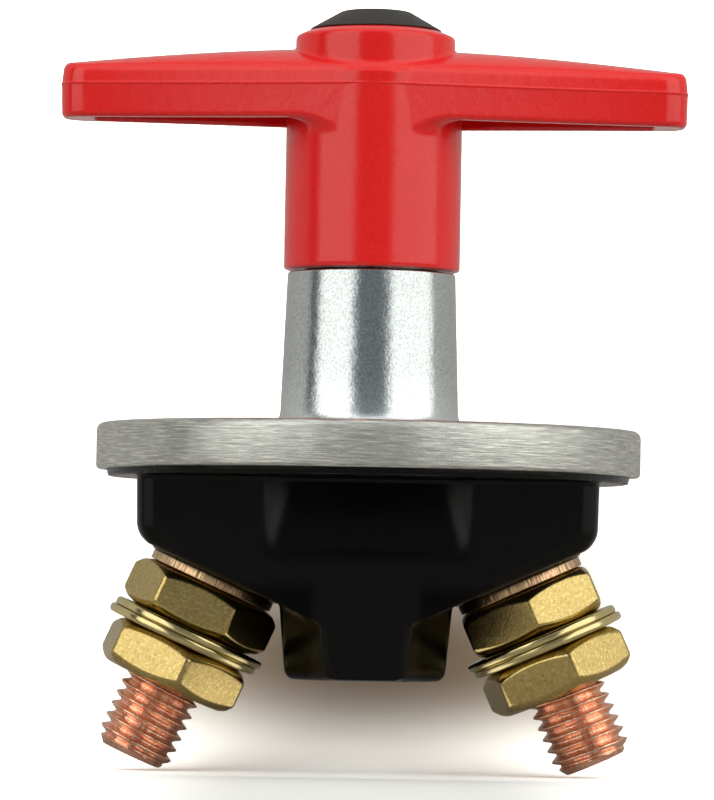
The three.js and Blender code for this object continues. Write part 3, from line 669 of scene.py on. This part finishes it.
def handle_field(x, y, z):
    ax, ay = np.abs(x), np.abs(y)
    around = np.sqrt(x * x + y * y)
    half = arm_half_depth(x)
    draft = np.where(z < PARTING, DRAFT_BELOW * (PARTING - z), DRAFT_ABOVE * (z - PARTING))
    flash = FLASH_HIGH * np.exp(-((z - PARTING) / FLASH_WIDE) ** 2)
    side = (ay - half + draft) * 0.985 - flash
    end = ax - HANDLE_X + FLASH_HIGH + draft * 0.8 - flash
    plan = both(side, end, ARM_END_R)
    fillet = UNDER_FILLET_R
    shoulder = np.clip(around - SLEEVE_R, 0, fillet)
    under_z = HANDLE_UNDER - (fillet - np.sqrt(np.maximum(fillet ** 2 - (fillet - shoulder) ** 2, 0)))
    under = (under_z - z) * 0.9
    along = np.clip((ax - RIDGE_FROM_X) / (HANDLE_X - RIDGE_FROM_X), 0, 1)
    ridge = RIDGE_END_Z + RIDGE_RISE * (1 - along ** 1.5)
    crown = 1 - np.clip(ay / half, 0, 1) ** 2
    top = (z - ARM_EDGE_Z - (ridge - ARM_EDGE_Z) * crown) * 0.88
    arms = both(both(plan, under, 0.55), top, 0.7)
    pocket_plan = both(ay - half + POCKET_WALL, ax - (HANDLE_X - POCKET_END_WALL), 1.0)
    pocket = both(pocket_plan, z - POCKET_TOP, 1.0)
    arms = without(arms, pocket, 0.35)
    sleeve = both(around - SLEEVE_R, both(SLEEVE_BOTTOM - z, z - WELL_FLOOR, 0.2), 0.35)
    shoulder = (around - HUB_R) * HUB_SLOPE[0] + (z - HUB_SHOULDER) * HUB_SLOPE[1]
    hub = both(both(around - HUB_R, 40.0 - z, 0.2), both(shoulder, z - HUB_TOP, 0.1), 0.35)
    body = either(np.minimum(arms, sleeve), hub, 0.35)
    skirt = np.maximum(around - SKIRT_R, z - SKIRT_TOP)
    socket = np.maximum(np.maximum(ax, ay) - SOCKET_HALF, z - SOCKET_TOP)
    well = np.maximum(around - WELL_R, WELL_FLOOR - z)
    hollow = np.minimum(np.minimum(skirt, socket), np.minimum(well, around - HANDLE_SCREW_HOLE_R))
    return without(body, hollow, 0.15)


def build_handle(looks):
    step = HANDLE_STEP
    fine = [(PARTING - 0.4, PARTING + 0.4, 0.06), (43.6, 44.9, 0.15), (37.9, 38.9, 0.15)]
    axes = [
        spread(-HANDLE_X - 0.7, HANDLE_X + 0.7, step),
        spread(-12.2, 12.2, step),
        spread(SLEEVE_BOTTOM - 0.7, HUB_TOP + 0.7, step, sorted(fine)),
    ]
    points, faces = net(handle_field, axes, 0.1)
    piece("t_handle", points, faces, "handle", "turning_handle", "red_paint", looks["red_paint"], 0)
    cap = rounded([
        (0, HUB_TOP + 0.8, 0),
        (5.5, HUB_TOP + 0.8, 0),
        (5.5, HUB_TOP - 1.6, 0.1),
        (6.8, HUB_TOP - 1.6, 0.1),
        (6.8, HUB_TOP + 0.03, 0.05),
        (8.25, HUB_TOP + 0.03, 0.1),
        (8.2, HUB_TOP + 0.2, 0.1),
        (4.2, CAP_TOP, 1.6),
        (0, CAP_TOP, 0),
    ])
    piece("handle_cap_plug", *lathe(cap, 96), "handle_cap", "turning_handle", "cap_plastic",
          looks["cap_plastic"])


# ------------------------------------------------------------------ zinc housing
def build_housing(looks):
    under = -FLANGE_THICK
    outline = rounded([
        (LIP_R + 0.15, under, 0.1),
        (FLANGE_R, under, 0.45),
        (FLANGE_R, 0, 0.9),
        (NECK_BASE_R, 0, NECK_FILLET_R),
        (NECK_TOP_R, NECK_TOP_Z, 0.25),
        (SPIGOT_R, NECK_TOP_Z, 0.1),
        (SPIGOT_R, SPIGOT_TOP, 0.3),
        (SPINDLE_HOLE_R, SPIGOT_TOP, 0.3),
        (SPINDLE_HOLE_R, BUSH_SEAT_Z, 0),
        (BUSH_HOLE_R, BUSH_SEAT_Z, 0),
        (BUSH_HOLE_R, -DISC_THICK, 0.2),
        (LIP_R + 0.15, -DISC_THICK, 0.1),
    ])
    casting = piece("flange_and_neck", *lathe(outline, 256), "housing", "base", "zinc", looks["zinc"])
    hole = lathe([(0, -8), (MOUNT_HOLE_R, -8), (MOUNT_HOLE_R, -0.35), (MOUNT_HOLE_R + 1, 0.65),
                  (MOUNT_HOLE_R + 1, 2), (0, 2)], 48)
    cut_with(casting, [moved(hole, y=-MOUNT_HOLE_Y), moved(hole, y=MOUNT_HOLE_Y)])
    shade(casting.data, 30)


# ------------------------------------------------------------------ black case
def slant_field(x, z, inset=0.0):
    """Distance below the sloping undersides, which rise from the middle to the sides."""
    level = SLANT_CORNER_Z + math.tan(TILT) * (np.abs(x) - CASE_X)
    return (level - z) * math.cos(TILT) + inset


def stud_axes(x, y, z):
    """Distance out along the nearer stud, and distance from its axis."""
    dx, dz = np.abs(x) - SEAT_X, z - SEAT_Z
    along = dx * math.sin(TILT) - dz * math.cos(TILT)
    across = dx * math.cos(TILT) + dz * math.sin(TILT)
    return along, np.sqrt(across * across + y * y)


def case_field(x, y, z):
    ax, ay = np.abs(x), np.abs(y)
    around = np.sqrt(x * x + y * y)
    lip = both(around - LIP_R, np.maximum(LIP_BOTTOM - z, z - LIP_TOP), 0.35)
    sides = ax - CASE_X - 0.02 * (z - LIP_BOTTOM)
    wings = both(sides, slant_field(x, z), BODY_CORNER_R)
    drawn = BOSS_DRAFT * (BOSS_DRAFT_Z - z)
    slope_x, slope_y = BOSS_CORNER_SLOPE
    chamfer = ax * slope_x + (ay + 0.5 * drawn) * slope_y - BOSS_CORNER + 0.9 * drawn
    column = both(ax - BOSS_HALF + drawn, chamfer, 0.5)
    column = both(column, BOSS_BOTTOM - z, BOSS_BOTTOM_R)
    block = either(wings, column, 0.4)
    off_boss = np.maximum(ease(-24.0, -20.0, z), ease(9.0, 12.0, ax))
    edge = 0.5 + 0.7 * off_boss + 1.3 * ease(20.0, 27.0, ax) * ease(-17.0, -14.0, z)
    block = both(block, ay - CASE_Y + 0.02 * (LIP_BOTTOM - z), edge)
    block = np.maximum(block, z - LIP_BOTTOM - 1.0)
    depth = CASE_Y - ay
    ramp = (ax - RECESS_HALF) * RECESS_SIDE_SLOPE[0] + depth * RECESS_SIDE_SLOPE[1]
    floor = depth - RECESS_DEPTH + RECESS_TAPER * (LIP_BOTTOM - z)
    recess = both(both(ramp, floor, 0.6), RECESS_FOOT_Z - z + 0.8 * depth, 1.5)
    block = without(block, recess, 0.3)
    along, radial = stud_axes(x, y, z)
    pad = both(radial - PAD_R, np.maximum(along, -along - 3.0), 0.25)
    solid = either(np.minimum(block, pad), lip, 0.25)
    hollow = np.maximum(np.maximum(ax - INSIDE_X, ay - INSIDE_Y), slant_field(x, z, INSIDE_WALL))
    hollow = np.maximum(hollow, z - 1.0)
    hollow = np.minimum(hollow, np.maximum(around - STEM_BORE_R, STEM_BORE_Z - z))
    hollow = np.minimum(hollow, radial - STUD_R - 0.15)
    solid = without(solid, hollow, 0.2)
    mount = np.sqrt(x * x + (ay - MOUNT_HOLE_Y) ** 2) - MOUNT_HOLE_R
    screw = np.sqrt((ax - SCREW_X) ** 2 + (ay - SCREW_Y) ** 2)
    cone = np.maximum(screw - 3.8, (screw - 3.8 + z - LIP_BOTTOM) * 0.7)
    sunk = np.minimum(screw - 2.2, cone)
    return without(solid, np.minimum(mount, sunk), 0.15)


def build_case(looks):
    low = (-LIP_R - 0.8, -LIP_R - 0.8, BOSS_BOTTOM - 0.8)
    high = (LIP_R + 0.8, LIP_R + 0.8, LIP_TOP + 0.8)
    axes = [spread(a, b, CASE_STEP) for a, b in zip(low, high)]
    points, faces = net(case_field, axes, 0.12)
    piece("lower_case", points, faces, "case_body", "base", "case_plastic", looks["case_plastic"], 0)
    number = 1
    for x in (-SCREW_X, SCREW_X):
        for y in (-SCREW_Y, SCREW_Y):
            head = rounded([
                (0, LIP_BOTTOM + 0.15, 0),
                (3.45, LIP_BOTTOM + 0.15, 0.15),
                (2.0, LIP_BOTTOM + 1.75, 0.2),
                (2.0, -1.0, 0.2),
                (0, -1.0, 0),
            ])
            screw = piece(f"case_screw_{number}", *moved(lathe(head, 48), x, y), f"body_screw_{number}",
                          "base", "steel", looks["steel"])
            outward(screw)
            recess = []
            for long_x, long_y in ((3.6, 0.7), (0.7, 3.6)):
                recess.append(moved(box_shape(long_x, long_y, LIP_BOTTOM - 1, LIP_BOTTOM + 1.3), x, y))
            cut_with(screw, recess)
            shade(screw.data, 30)
            number += 1


def box_shape(size_x, size_y, bottom, top):
    points = [(sx * size_x / 2, sy * size_y / 2, z)
              for z in (bottom, top) for sx, sy in ((-1, -1), (1, -1), (1, 1), (-1, 1))]
    faces = [(0, 3, 2, 1), (4, 5, 6, 7), (0, 1, 5, 4), (1, 2, 6, 5), (2, 3, 7, 6), (3, 0, 4, 7)]
    return points, faces


# ------------------------------------------------------------------ terminals
def on_stud(shape, side, turn=0.0, shift=0.0):
    """Places a shape whose z = 0 is the seat and whose -z runs out along the stud."""
    points, faces = shape
    spin = Matrix.Rotation(math.radians(turn), 4, "Z")
    lean = Matrix.Rotation(-side * TILT, 4, "Y")
    seat = Matrix.Translation((side * SEAT_X, 0, SEAT_Z))
    whole = seat @ lean @ Matrix.Translation((shift, 0, 0)) @ spin
    return [tuple(whole @ Vector(p)) for p in points], faces


def threaded_stud():
    """An M10 stud with a rolled helical thread, a chamfered end and a square head inside the case."""
    around, per_pitch = 96, 16
    start, end = -6.0, STUD_OUT
    rows = int((end - start) / THREAD_PITCH * per_pitch)
    points = []
    for i in range(rows + 1):
        s = start + (end - start) * i / rows
        for k in range(around):
            a = 2 * math.pi * k / around
            phase = (s / THREAD_PITCH - a / (2 * math.pi)) % 1.0
            flank = min(max((abs(phase - 0.5) * 2 - 0.08) / 0.8, 0), 1)
            flank = flank * flank * (3 - 2 * flank) * 0.4 + flank * 0.6
            crest = STUD_R - THREAD_DEPTH * flank
            bare = ease(-0.5, 1.0, np.float64(s))
            r = STUD_R - 0.2 + (crest - STUD_R + 0.2) * float(bare)
            r = min(r, STUD_R - STUD_CHAMFER + (end - s) * STUD_CHAMFER_SLOPE)
            points.append((r * math.cos(a), r * math.sin(a), -s))
    faces = []
    for i in range(rows):
        for k in range(around):
            n = (k + 1) % around
            faces.append((i * around + k, i * around + n, (i + 1) * around + n, (i + 1) * around + k))
    last = rows * around
    inner = len(points)
    for k in range(around):
        x, y, z = points[last + k]
        points.append((x * 0.9, y * 0.9, z))
    for k in range(around):
        n = (k + 1) % around
        faces.append((last + k, last + n, inner + n, inner + k))
    points.append((0, 0, -STUD_OUT))
    tip = len(points) - 1
    faces.extend((inner + k, inner + (k + 1) % around, tip) for k in range(around))
    head_low = len(points)
    size = STUD_HEAD_HALF
    for z in STUD_HEAD_Z:
        points.extend([(-size, -size, z), (size, -size, z), (size, size, z), (-size, size, z)])
    h = head_low
    faces.extend([(h + 4, h + 5, h + 6, h + 7), (h, h + 1, h + 5, h + 4), (h + 1, h + 2, h + 6, h + 5),
                  (h + 2, h + 3, h + 7, h + 6), (h + 3, h, h + 4, h + 7)])
    quarter = around // 4
    for q in range(4):
        corner = h + (q + 2) % 4
        following = h + (q + 3) % 4
        base = q * quarter
        for k in range(quarter):
            a, b = (base + k) % around, (base + k + 1) % around
            faces.append((corner if k < quarter // 2 else following, a, b))
        middle = (base + quarter // 2) % around
        faces.append((corner, following, middle))
    return points, faces


def hex_nut(thick):
    """A chamfered hexagon nut with rounded corners; the chamfers draw arcs on its flats."""
    apothem = NUT_FLATS / 2
    bore, corner_r = NUT_BORE_R, NUT_CORNER_R
    lead_r = bore + NUT_BORE_CHAMFER
    face_r = apothem - 0.9
    corner_at = (apothem - corner_r) / math.cos(math.pi / 6)
    bend = math.atan((apothem - corner_r) * math.tan(math.pi / 6) / apothem)
    flat_steps, corner_steps = 12, 6
    outline = []
    for k in range(6):
        middle = k * math.pi / 3 + math.pi / 6
        for i in range(flat_steps):
            a = -bend + 2 * bend * i / flat_steps
            outline.append((middle + a, apothem / math.cos(a)))
        for i in range(corner_steps):
            a = bend + 2 * (math.pi / 6 - bend) * i / corner_steps
            away = math.pi / 6 - a
            reach = corner_r ** 2 - (corner_at * math.sin(away)) ** 2
            outline.append((middle + a, corner_at * math.cos(away) + math.sqrt(max(reach, 0))))
    points, faces = [], []
    for a, r in outline:
        drop = 0.72 + 0.5 * (r - apothem)
        shoulder = face_r + 0.62 * (r - face_r)
        profile = [
            (bore, -0.6), (lead_r, 0), (face_r, 0), (shoulder, -0.36 * drop), (r, -drop),
            (r, -thick + drop), (shoulder, -thick + 0.36 * drop), (face_r, -thick),
            (lead_r, -thick), (bore, -thick + 0.6),
        ]
        points.extend((pr * math.cos(a), pr * math.sin(a), pz) for pr, pz in profile)
    around, rows = len(outline), 10
    for k in range(around):
        n = (k + 1) % around
        for j in range(rows):
            m = (j + 1) % rows
            faces.append((k * rows + j, k * rows + m, n * rows + m, n * rows + j))
    return points, faces


def plain_washer(outer, thick, soft, crisp):
    return lathe(rounded([
        (WASHER_HOLE_R, -thick, crisp),
        (outer, -thick, crisp),
        (outer, 0, soft),
        (WASHER_HOLE_R, 0, soft),
    ], 4), 128)


def build_terminal(side, name, turns, looks):
    parts = [
        ("collar", plain_washer(8.15, 1.13, 0.12, 0.12), 1.15, 0.0, 0.0, "collar_copper", "copper"),
        ("lock_nut", hex_nut(5.98), 6.0, turns[0], 0.0, "brass", "brass"),
        ("upper_washer", plain_washer(10.0, 1.03, 0.45, 0.25), 1.05, 0.0, -0.2, "washer_brass", "brass"),
        ("lower_washer", plain_washer(9.95, 1.03, 0.3, 0.45), 1.05, 0.0, 0.22, "washer_brass", "brass"),
        ("terminal_nut", hex_nut(5.78), 5.8, turns[1], 0.0, "brass", "brass"),
    ]
    at = 0.0
    for label, shape, thick, turn, shift, look, slot in parts:
        points, faces = shape
        shape = [(x, y, z - at - 0.01) for x, y, z in points], faces
        made = piece(f"{label}_{name}_shown", *on_stud(shape, side, turn, shift * side),
                     f"{label}_{name}", "base", slot, looks[look], 30, shape[0])
        outward(made)
        if "nut" in label:
            bevel(made, 0.26, 3, 20)
            shade(made.data, 40)
            weigh_normals(made)
        else:
            shade(made.data, 30)
        at += thick
    shape = threaded_stud()
    stud = piece(f"stud_{name}_threaded", *on_stud(shape, side), f"stud_{name}", "base",
                 "copper", looks["copper"], 50, shape[0])
    outward(stud)
    shade(stud.data, 50)


# ------------------------------------------------------------------ inner pieces
def build_return_spring(looks):
    """The coil that stretches between the case floor and the contact carriage."""
    low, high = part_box("return_spring")
    bottom, top = (low.z - FLANGE_TOP) / MM, (high.z - FLANGE_TOP) / MM
    coils, steps, sides, wire, radius = 5, 160, 10, 0.55, 4.4
    points, faces = [], []
    for i in range(steps + 1):
        t = i / steps
        a = 2 * math.pi * coils * t
        z = bottom + wire + (top - bottom - 2 * wire) * t
        for k in range(sides):
            b = 2 * math.pi * k / sides
            r = radius + wire * math.cos(b)
            points.append((r * math.cos(a), r * math.sin(a), z + wire * math.sin(b)))
    for i in range(steps):
        for k in range(sides):
            n = (k + 1) % sides
            faces.append((i * sides + k, i * sides + n, (i + 1) * sides + n, (i + 1) * sides + k))
    faces.append(tuple(range(sides)))
    faces.append(tuple(steps * sides + k for k in reversed(range(sides))))
    mesh = bpy.data.meshes.new("return_coil")
    mesh.from_pydata(to_frame(points).tolist(), [], faces)
    coil = bpy.data.objects.new("return_coil", mesh)
    bpy.context.scene.collection.objects.link(coil)
    outward(coil)
    shade(mesh, 40)
    mesh.materials.append(looks["steel"])
    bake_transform(coil)
    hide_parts("return_spring")


def finish_inner_nodes(looks):
    for entry in frame["record"]["subparts"]:
        node = frame["nodes"][entry["node"]]
        if not node.hide_render:
            node.data.materials.clear()
            node.data.materials.append(looks[entry["material_slot"]])


# ------------------------------------------------------------------ studio
def add_floor():
    """A pale floor that sweeps up into a backdrop close behind the switch."""
    profile = [(-FLOOR_REACH, 0.0)]
    for k in range(BEND_STEPS + 1):
        a = math.pi / 2 * k / BEND_STEPS
        profile.append((BACKDROP_Y - BEND_R + BEND_R * math.sin(a), BEND_R - BEND_R * math.cos(a)))
    profile.append((BACKDROP_Y, FLOOR_REACH))
    points = [(x, y, z) for y, z in profile for x in (-FLOOR_REACH, FLOOR_REACH)]
    faces = [(2 * k, 2 * k + 1, 2 * k + 3, 2 * k + 2) for k in range(len(profile) - 1)]
    mesh = bpy.data.meshes.new("floor")
    mesh.from_pydata(points, [], faces)
    mesh.shade_smooth()
    floor = bpy.data.objects.new("floor", mesh)
    bpy.context.scene.collection.objects.link(floor)
    floor.location.z = -FLOOR_GAP
    mesh.materials.append(floor_white())


def floor_white():
    """White sheet: the camera sees it bright apart from painted shade in front of and behind the switch,
    the switch gets less of its light, its back is clear.
    """
    material = bpy.data.materials.new("floor_white")
    material.use_nodes = True
    tree = material.node_tree
    nodes, links = tree.nodes, tree.links
    nodes.clear()
    geometry = nodes.new("ShaderNodeNewGeometry")
    path = nodes.new("ShaderNodeLightPath")
    seen = path.outputs["Is Camera Ray"]
    place = geometry.outputs["Position"]
    x, y, z = split_node(tree, place)

    height = map_node(tree, z, 0.0, BACKDROP_FROM_Z)
    # Painted shade: the floor in front of the switch is shown darker around the middle.
    front = map_node(tree, y, *FRONT_Y, 1.0, 0.0)
    strip = math_node(tree, "MULTIPLY", window(tree, x, *FRONT_ACROSS), window(tree, y, *FRONT_ALONG))
    floor_seen = mix_node(tree, math_node(tree, "MULTIPLY", front, strip), FLOOR_SEEN, FRONT_SHADE_SEEN)
    shown = mix_node(tree, height, floor_seen, BACKDROP_SEEN)

    from_pool = nodes.new("ShaderNodeVectorMath")
    from_pool.operation = "SUBTRACT"
    feed(tree, [(from_pool.inputs[0], place), (from_pool.inputs[1], SHADE_CENTRE)])
    shrunk = nodes.new("ShaderNodeVectorMath")
    shrunk.operation = "DIVIDE"
    feed(tree, [(shrunk.inputs[0], from_pool.outputs[0]), (shrunk.inputs[1], SHADE_REACH)])
    away = nodes.new("ShaderNodeVectorMath")
    away.operation = "LENGTH"
    links.new(shrunk.outputs[0], away.inputs[0])
    fade = map_node(tree, away.outputs["Value"], *SHADE_FADE, 1.0, 0.0, "SMOOTHSTEP")
    depth = math_node(tree, "MULTIPLY", fade, window(tree, x, *SHADE_ACROSS))
    sheet = nodes.new("ShaderNodeBsdfDiffuse")
    links.new(mix_node(tree, depth, shown, SHADE_COLOR), sheet.inputs["Color"])
    bounce = nodes.new("ShaderNodeBsdfDiffuse")
    links.new(mix_node(tree, height, FLOOR_BOUNCE, BACKDROP_BOUNCE), bounce.inputs["Color"])
    diffuse = nodes.new("ShaderNodeMixShader")
    feed(tree, [(diffuse.inputs[0], seen), (diffuse.inputs[1], bounce.outputs[0]),
                (diffuse.inputs[2], sheet.outputs[0])])

    # Painted light: the patch under the case glows for every ray but the camera's.
    patch_x, patch_y = FLOOR_PATCH
    patch = math_node(tree, "MULTIPLY", window(tree, x, *patch_x), window(tree, y, *patch_y))
    reflected = math_node(tree, "MULTIPLY", patch, math_node(tree, "SUBTRACT", 1.0, seen))
    strength = math_node(tree, "MULTIPLY_ADD", reflected, FLOOR_PATCH_GLOW, FLOOR_GLOW)
    lift = math_node(tree, "MULTIPLY", window(tree, z, *FLOOR_LIFT_Z), seen)
    glow = nodes.new("ShaderNodeEmission")
    feed(tree, [(glow.inputs["Color"], FLOOR_GLOW_COLOR),
                (glow.inputs["Strength"], math_node(tree, "MULTIPLY_ADD", lift, FLOOR_LIFT, strength))])
    both_parts = nodes.new("ShaderNodeAddShader")
    feed(tree, [(both_parts.inputs[0], diffuse.outputs[0]), (both_parts.inputs[1], glow.outputs[0])])

    clear = nodes.new("ShaderNodeBsdfTransparent")
    choose = nodes.new("ShaderNodeMixShader")
    feed(tree, [(choose.inputs[0], geometry.outputs["Backfacing"]),
                (choose.inputs[1], both_parts.outputs[0]), (choose.inputs[2], clear.outputs[0])])
    output = nodes.new("ShaderNodeOutputMaterial")
    links.new(choose.outputs[0], output.inputs["Surface"])
    return material


def add_studio_light():
    """White surroundings with a large soft panel on each side and a darker gap behind the camera."""
    world = bpy.data.worlds.new("studio")
    bpy.context.scene.world = world
    world.use_nodes = True
    tree = world.node_tree
    nodes, links = tree.nodes, tree.links
    nodes.clear()
    degrees = 180 / math.pi
    x, y, z = split_node(tree, nodes.new("ShaderNodeTexCoord").outputs["Generated"])
    turned = math_node(tree, "ARCTAN2", x, math_node(tree, "MULTIPLY", y, -1.0))
    azimuth = math_node(tree, "MULTIPLY", turned, degrees)
    elevation = math_node(tree, "MULTIPLY", math_node(tree, "ARCSINE", z), degrees)
    total = AMBIENT
    for strength, az_low, az_high, az_soft, el_low, el_high, el_soft in PANELS:
        across = window(tree, azimuth, az_low, az_high, az_soft)
        up = window(tree, elevation, el_low, el_high, el_soft)
        panel = math_node(tree, "MULTIPLY", across, up)
        total = math_node(tree, "MULTIPLY_ADD", panel, strength, total)
    path = nodes.new("ShaderNodeLightPath")
    gain = math_node(tree, "MULTIPLY_ADD", path.outputs["Is Diffuse Ray"], DIFFUSE_GAIN, 1.0)
    total = math_node(tree, "MULTIPLY", total, gain)
    tint = mix_node(tree, math_node(tree, "MULTIPLY", total, TINT_BY_STRENGTH), FILL_TINT, PANEL_TINT)
    lit = nodes.new("ShaderNodeBackground")
    feed(tree, [(lit.inputs["Color"], tint), (lit.inputs["Strength"], total)])
    seen = nodes.new("ShaderNodeBackground")
    seen.inputs["Color"].default_value = (1, 1, 1, 1)
    choose = nodes.new("ShaderNodeMixShader")
    feed(tree, [(choose.inputs[0], path.outputs["Is Camera Ray"]), (choose.inputs[1], lit.outputs[0]),
                (choose.inputs[2], seen.outputs[0])])
    output = nodes.new("ShaderNodeOutputWorld")
    links.new(choose.outputs[0], output.inputs["Surface"])


def add_camera():
    data = bpy.data.cameras.new("camera")
    data.lens = CAMERA_LENS
    data.sensor_width = 36.0
    data.clip_start = 0.01
    data.clip_end = 20.0
    camera = bpy.data.objects.new("camera", data)
    bpy.context.scene.collection.objects.link(camera)
    camera.location = CAMERA_PLACE
    pitch, yaw, roll = (math.radians(a) for a in CAMERA_TURN)
    level = Matrix.Rotation(yaw, 4, "Z") @ Matrix.Rotation(math.radians(90) + pitch, 4, "X")
    camera.rotation_mode = "QUATERNION"
    camera.rotation_quaternion = (level @ Matrix.Rotation(roll, 4, "Z")).to_quaternion()
    bpy.context.scene.camera = camera


HANDLE_STEP = 0.3
CASE_STEP = 0.4
# The floor and backdrop, in metres.
BACKDROP_Y = 0.036
BACKDROP_FROM_Z = 0.012
BEND_R = 0.03
BEND_STEPS = 12
FLOOR_REACH = 3.0
FLOOR_GAP = 0.0002
# The floor and backdrop bounce little light but are shown bright, as an exposed white sheet.
FLOOR_BOUNCE = (0.36, 0.345, 0.33, 1)
BACKDROP_BOUNCE = (0.55, 0.545, 0.54, 1)
FLOOR_SEEN = (2.2, 2.14, 2.1, 1)
# The open floor in front of the switch catches more light, and there, around the middle, it is shown less
# brightly as a painted shade. In metres.
FRONT_Y = (-0.02, 0.012)
FRONT_ACROSS = (-0.034, 0.034, 0.022)
FRONT_ALONG = (-0.115, 1.0, 0.022)
FRONT_SHADE_SEEN = (0.68, 0.675, 0.67, 1)
BACKDROP_SEEN = (2.3, 2.2, 2.1, 1)
FLOOR_GLOW = 0.02
FLOOR_GLOW_COLOR = (1.0, 0.98, 0.95, 1)
# A patch of floor under the case that glows, painted light that shows only in reflections: x and then y,
# from, to and softness, in metres.
FLOOR_PATCH = [(-0.010, 0.013, 0.003), (-0.016, 0.002, 0.004)]
FLOOR_PATCH_GLOW = 1.15
# Light added only for the camera along the floor, so that no line shows where it meets the backdrop.
FLOOR_LIFT = 0.1
FLOOR_LIFT_Z = (-1.0, 0.0015, 0.0025)
# The soft shade that gathers behind the two studs, under the case.
SHADE_CENTRE = (0.004, BACKDROP_Y, 0.0095)
SHADE_REACH = (0.08, 0.0215, 0.028)
SHADE_FADE = (0.25, 0.95)
SHADE_ACROSS = (-0.027, 0.031, 0.007)
SHADE_COLOR = (0.32, 0.225, 0.14, 1)
AMBIENT = 0.42
# Weak light from the surroundings is cool and the panels' strong light is warm.
TINT_BY_STRENGTH = 0.6
FILL_TINT = (0.92, 0.98, 1.05, 1)
PANEL_TINT = (1.0, 1.0, 0.95, 1)
DIFFUSE_GAIN = 0.45
# Each panel: strength, azimuth from, to and softness, elevation from, to and softness, in degrees.
# Azimuth 0 is towards the camera and grows to the right.
PANELS = [
    (1.3, -75, -24, 2.5, -1, 60, 3),
    (1.3, 26, 92, 2.5, -1, 60, 3),
    (0.7, -180, 180, 1, 62, 90, 10),
    (-0.2, -22, 22, 4, -50, 35, 10),
    (-0.3, -98, -75, 3, -60, 50, 10),
]
CAMERA_LENS = 243.0
CAMERA_PLACE = (-1.55 * MM, -0.675, FLANGE_TOP - 21.9 * MM)
CAMERA_TURN = (2.15, 0.0, 1.03)

looks = {
    "red_paint": red_paint(),
    "cap_plastic": cap_plastic(),
    "zinc": zinc(),
    "case_plastic": case_plastic(),
    "brass": brass(),
    "washer_brass": washer_brass(),
    "copper": copper(),
    "collar_copper": collar_copper(),
    "steel": plain_metal("steel", (0.5, 0.51, 0.52), 0.32),
    "bronze": plain_metal("bronze", (0.5, 0.34, 0.16), 0.42),
    "rubber": plain_moulding("rubber", (0.012, 0.012, 0.012), 0.75),
    "inner_plastic": plain_moulding("inner_plastic", (0.68, 0.64, 0.54), 0.5),
}
build_handle(looks)
build_housing(looks)
build_case(looks)
build_terminal(-1, "left", (-3.0, -19.5), looks)
build_terminal(1, "right", (28.7, -17.6), looks)
build_return_spring(looks)
finish_inner_nodes(looks)
add_floor()
add_studio_light()
add_camera()
bpy.context.scene.view_settings.view_transform = "Standard"
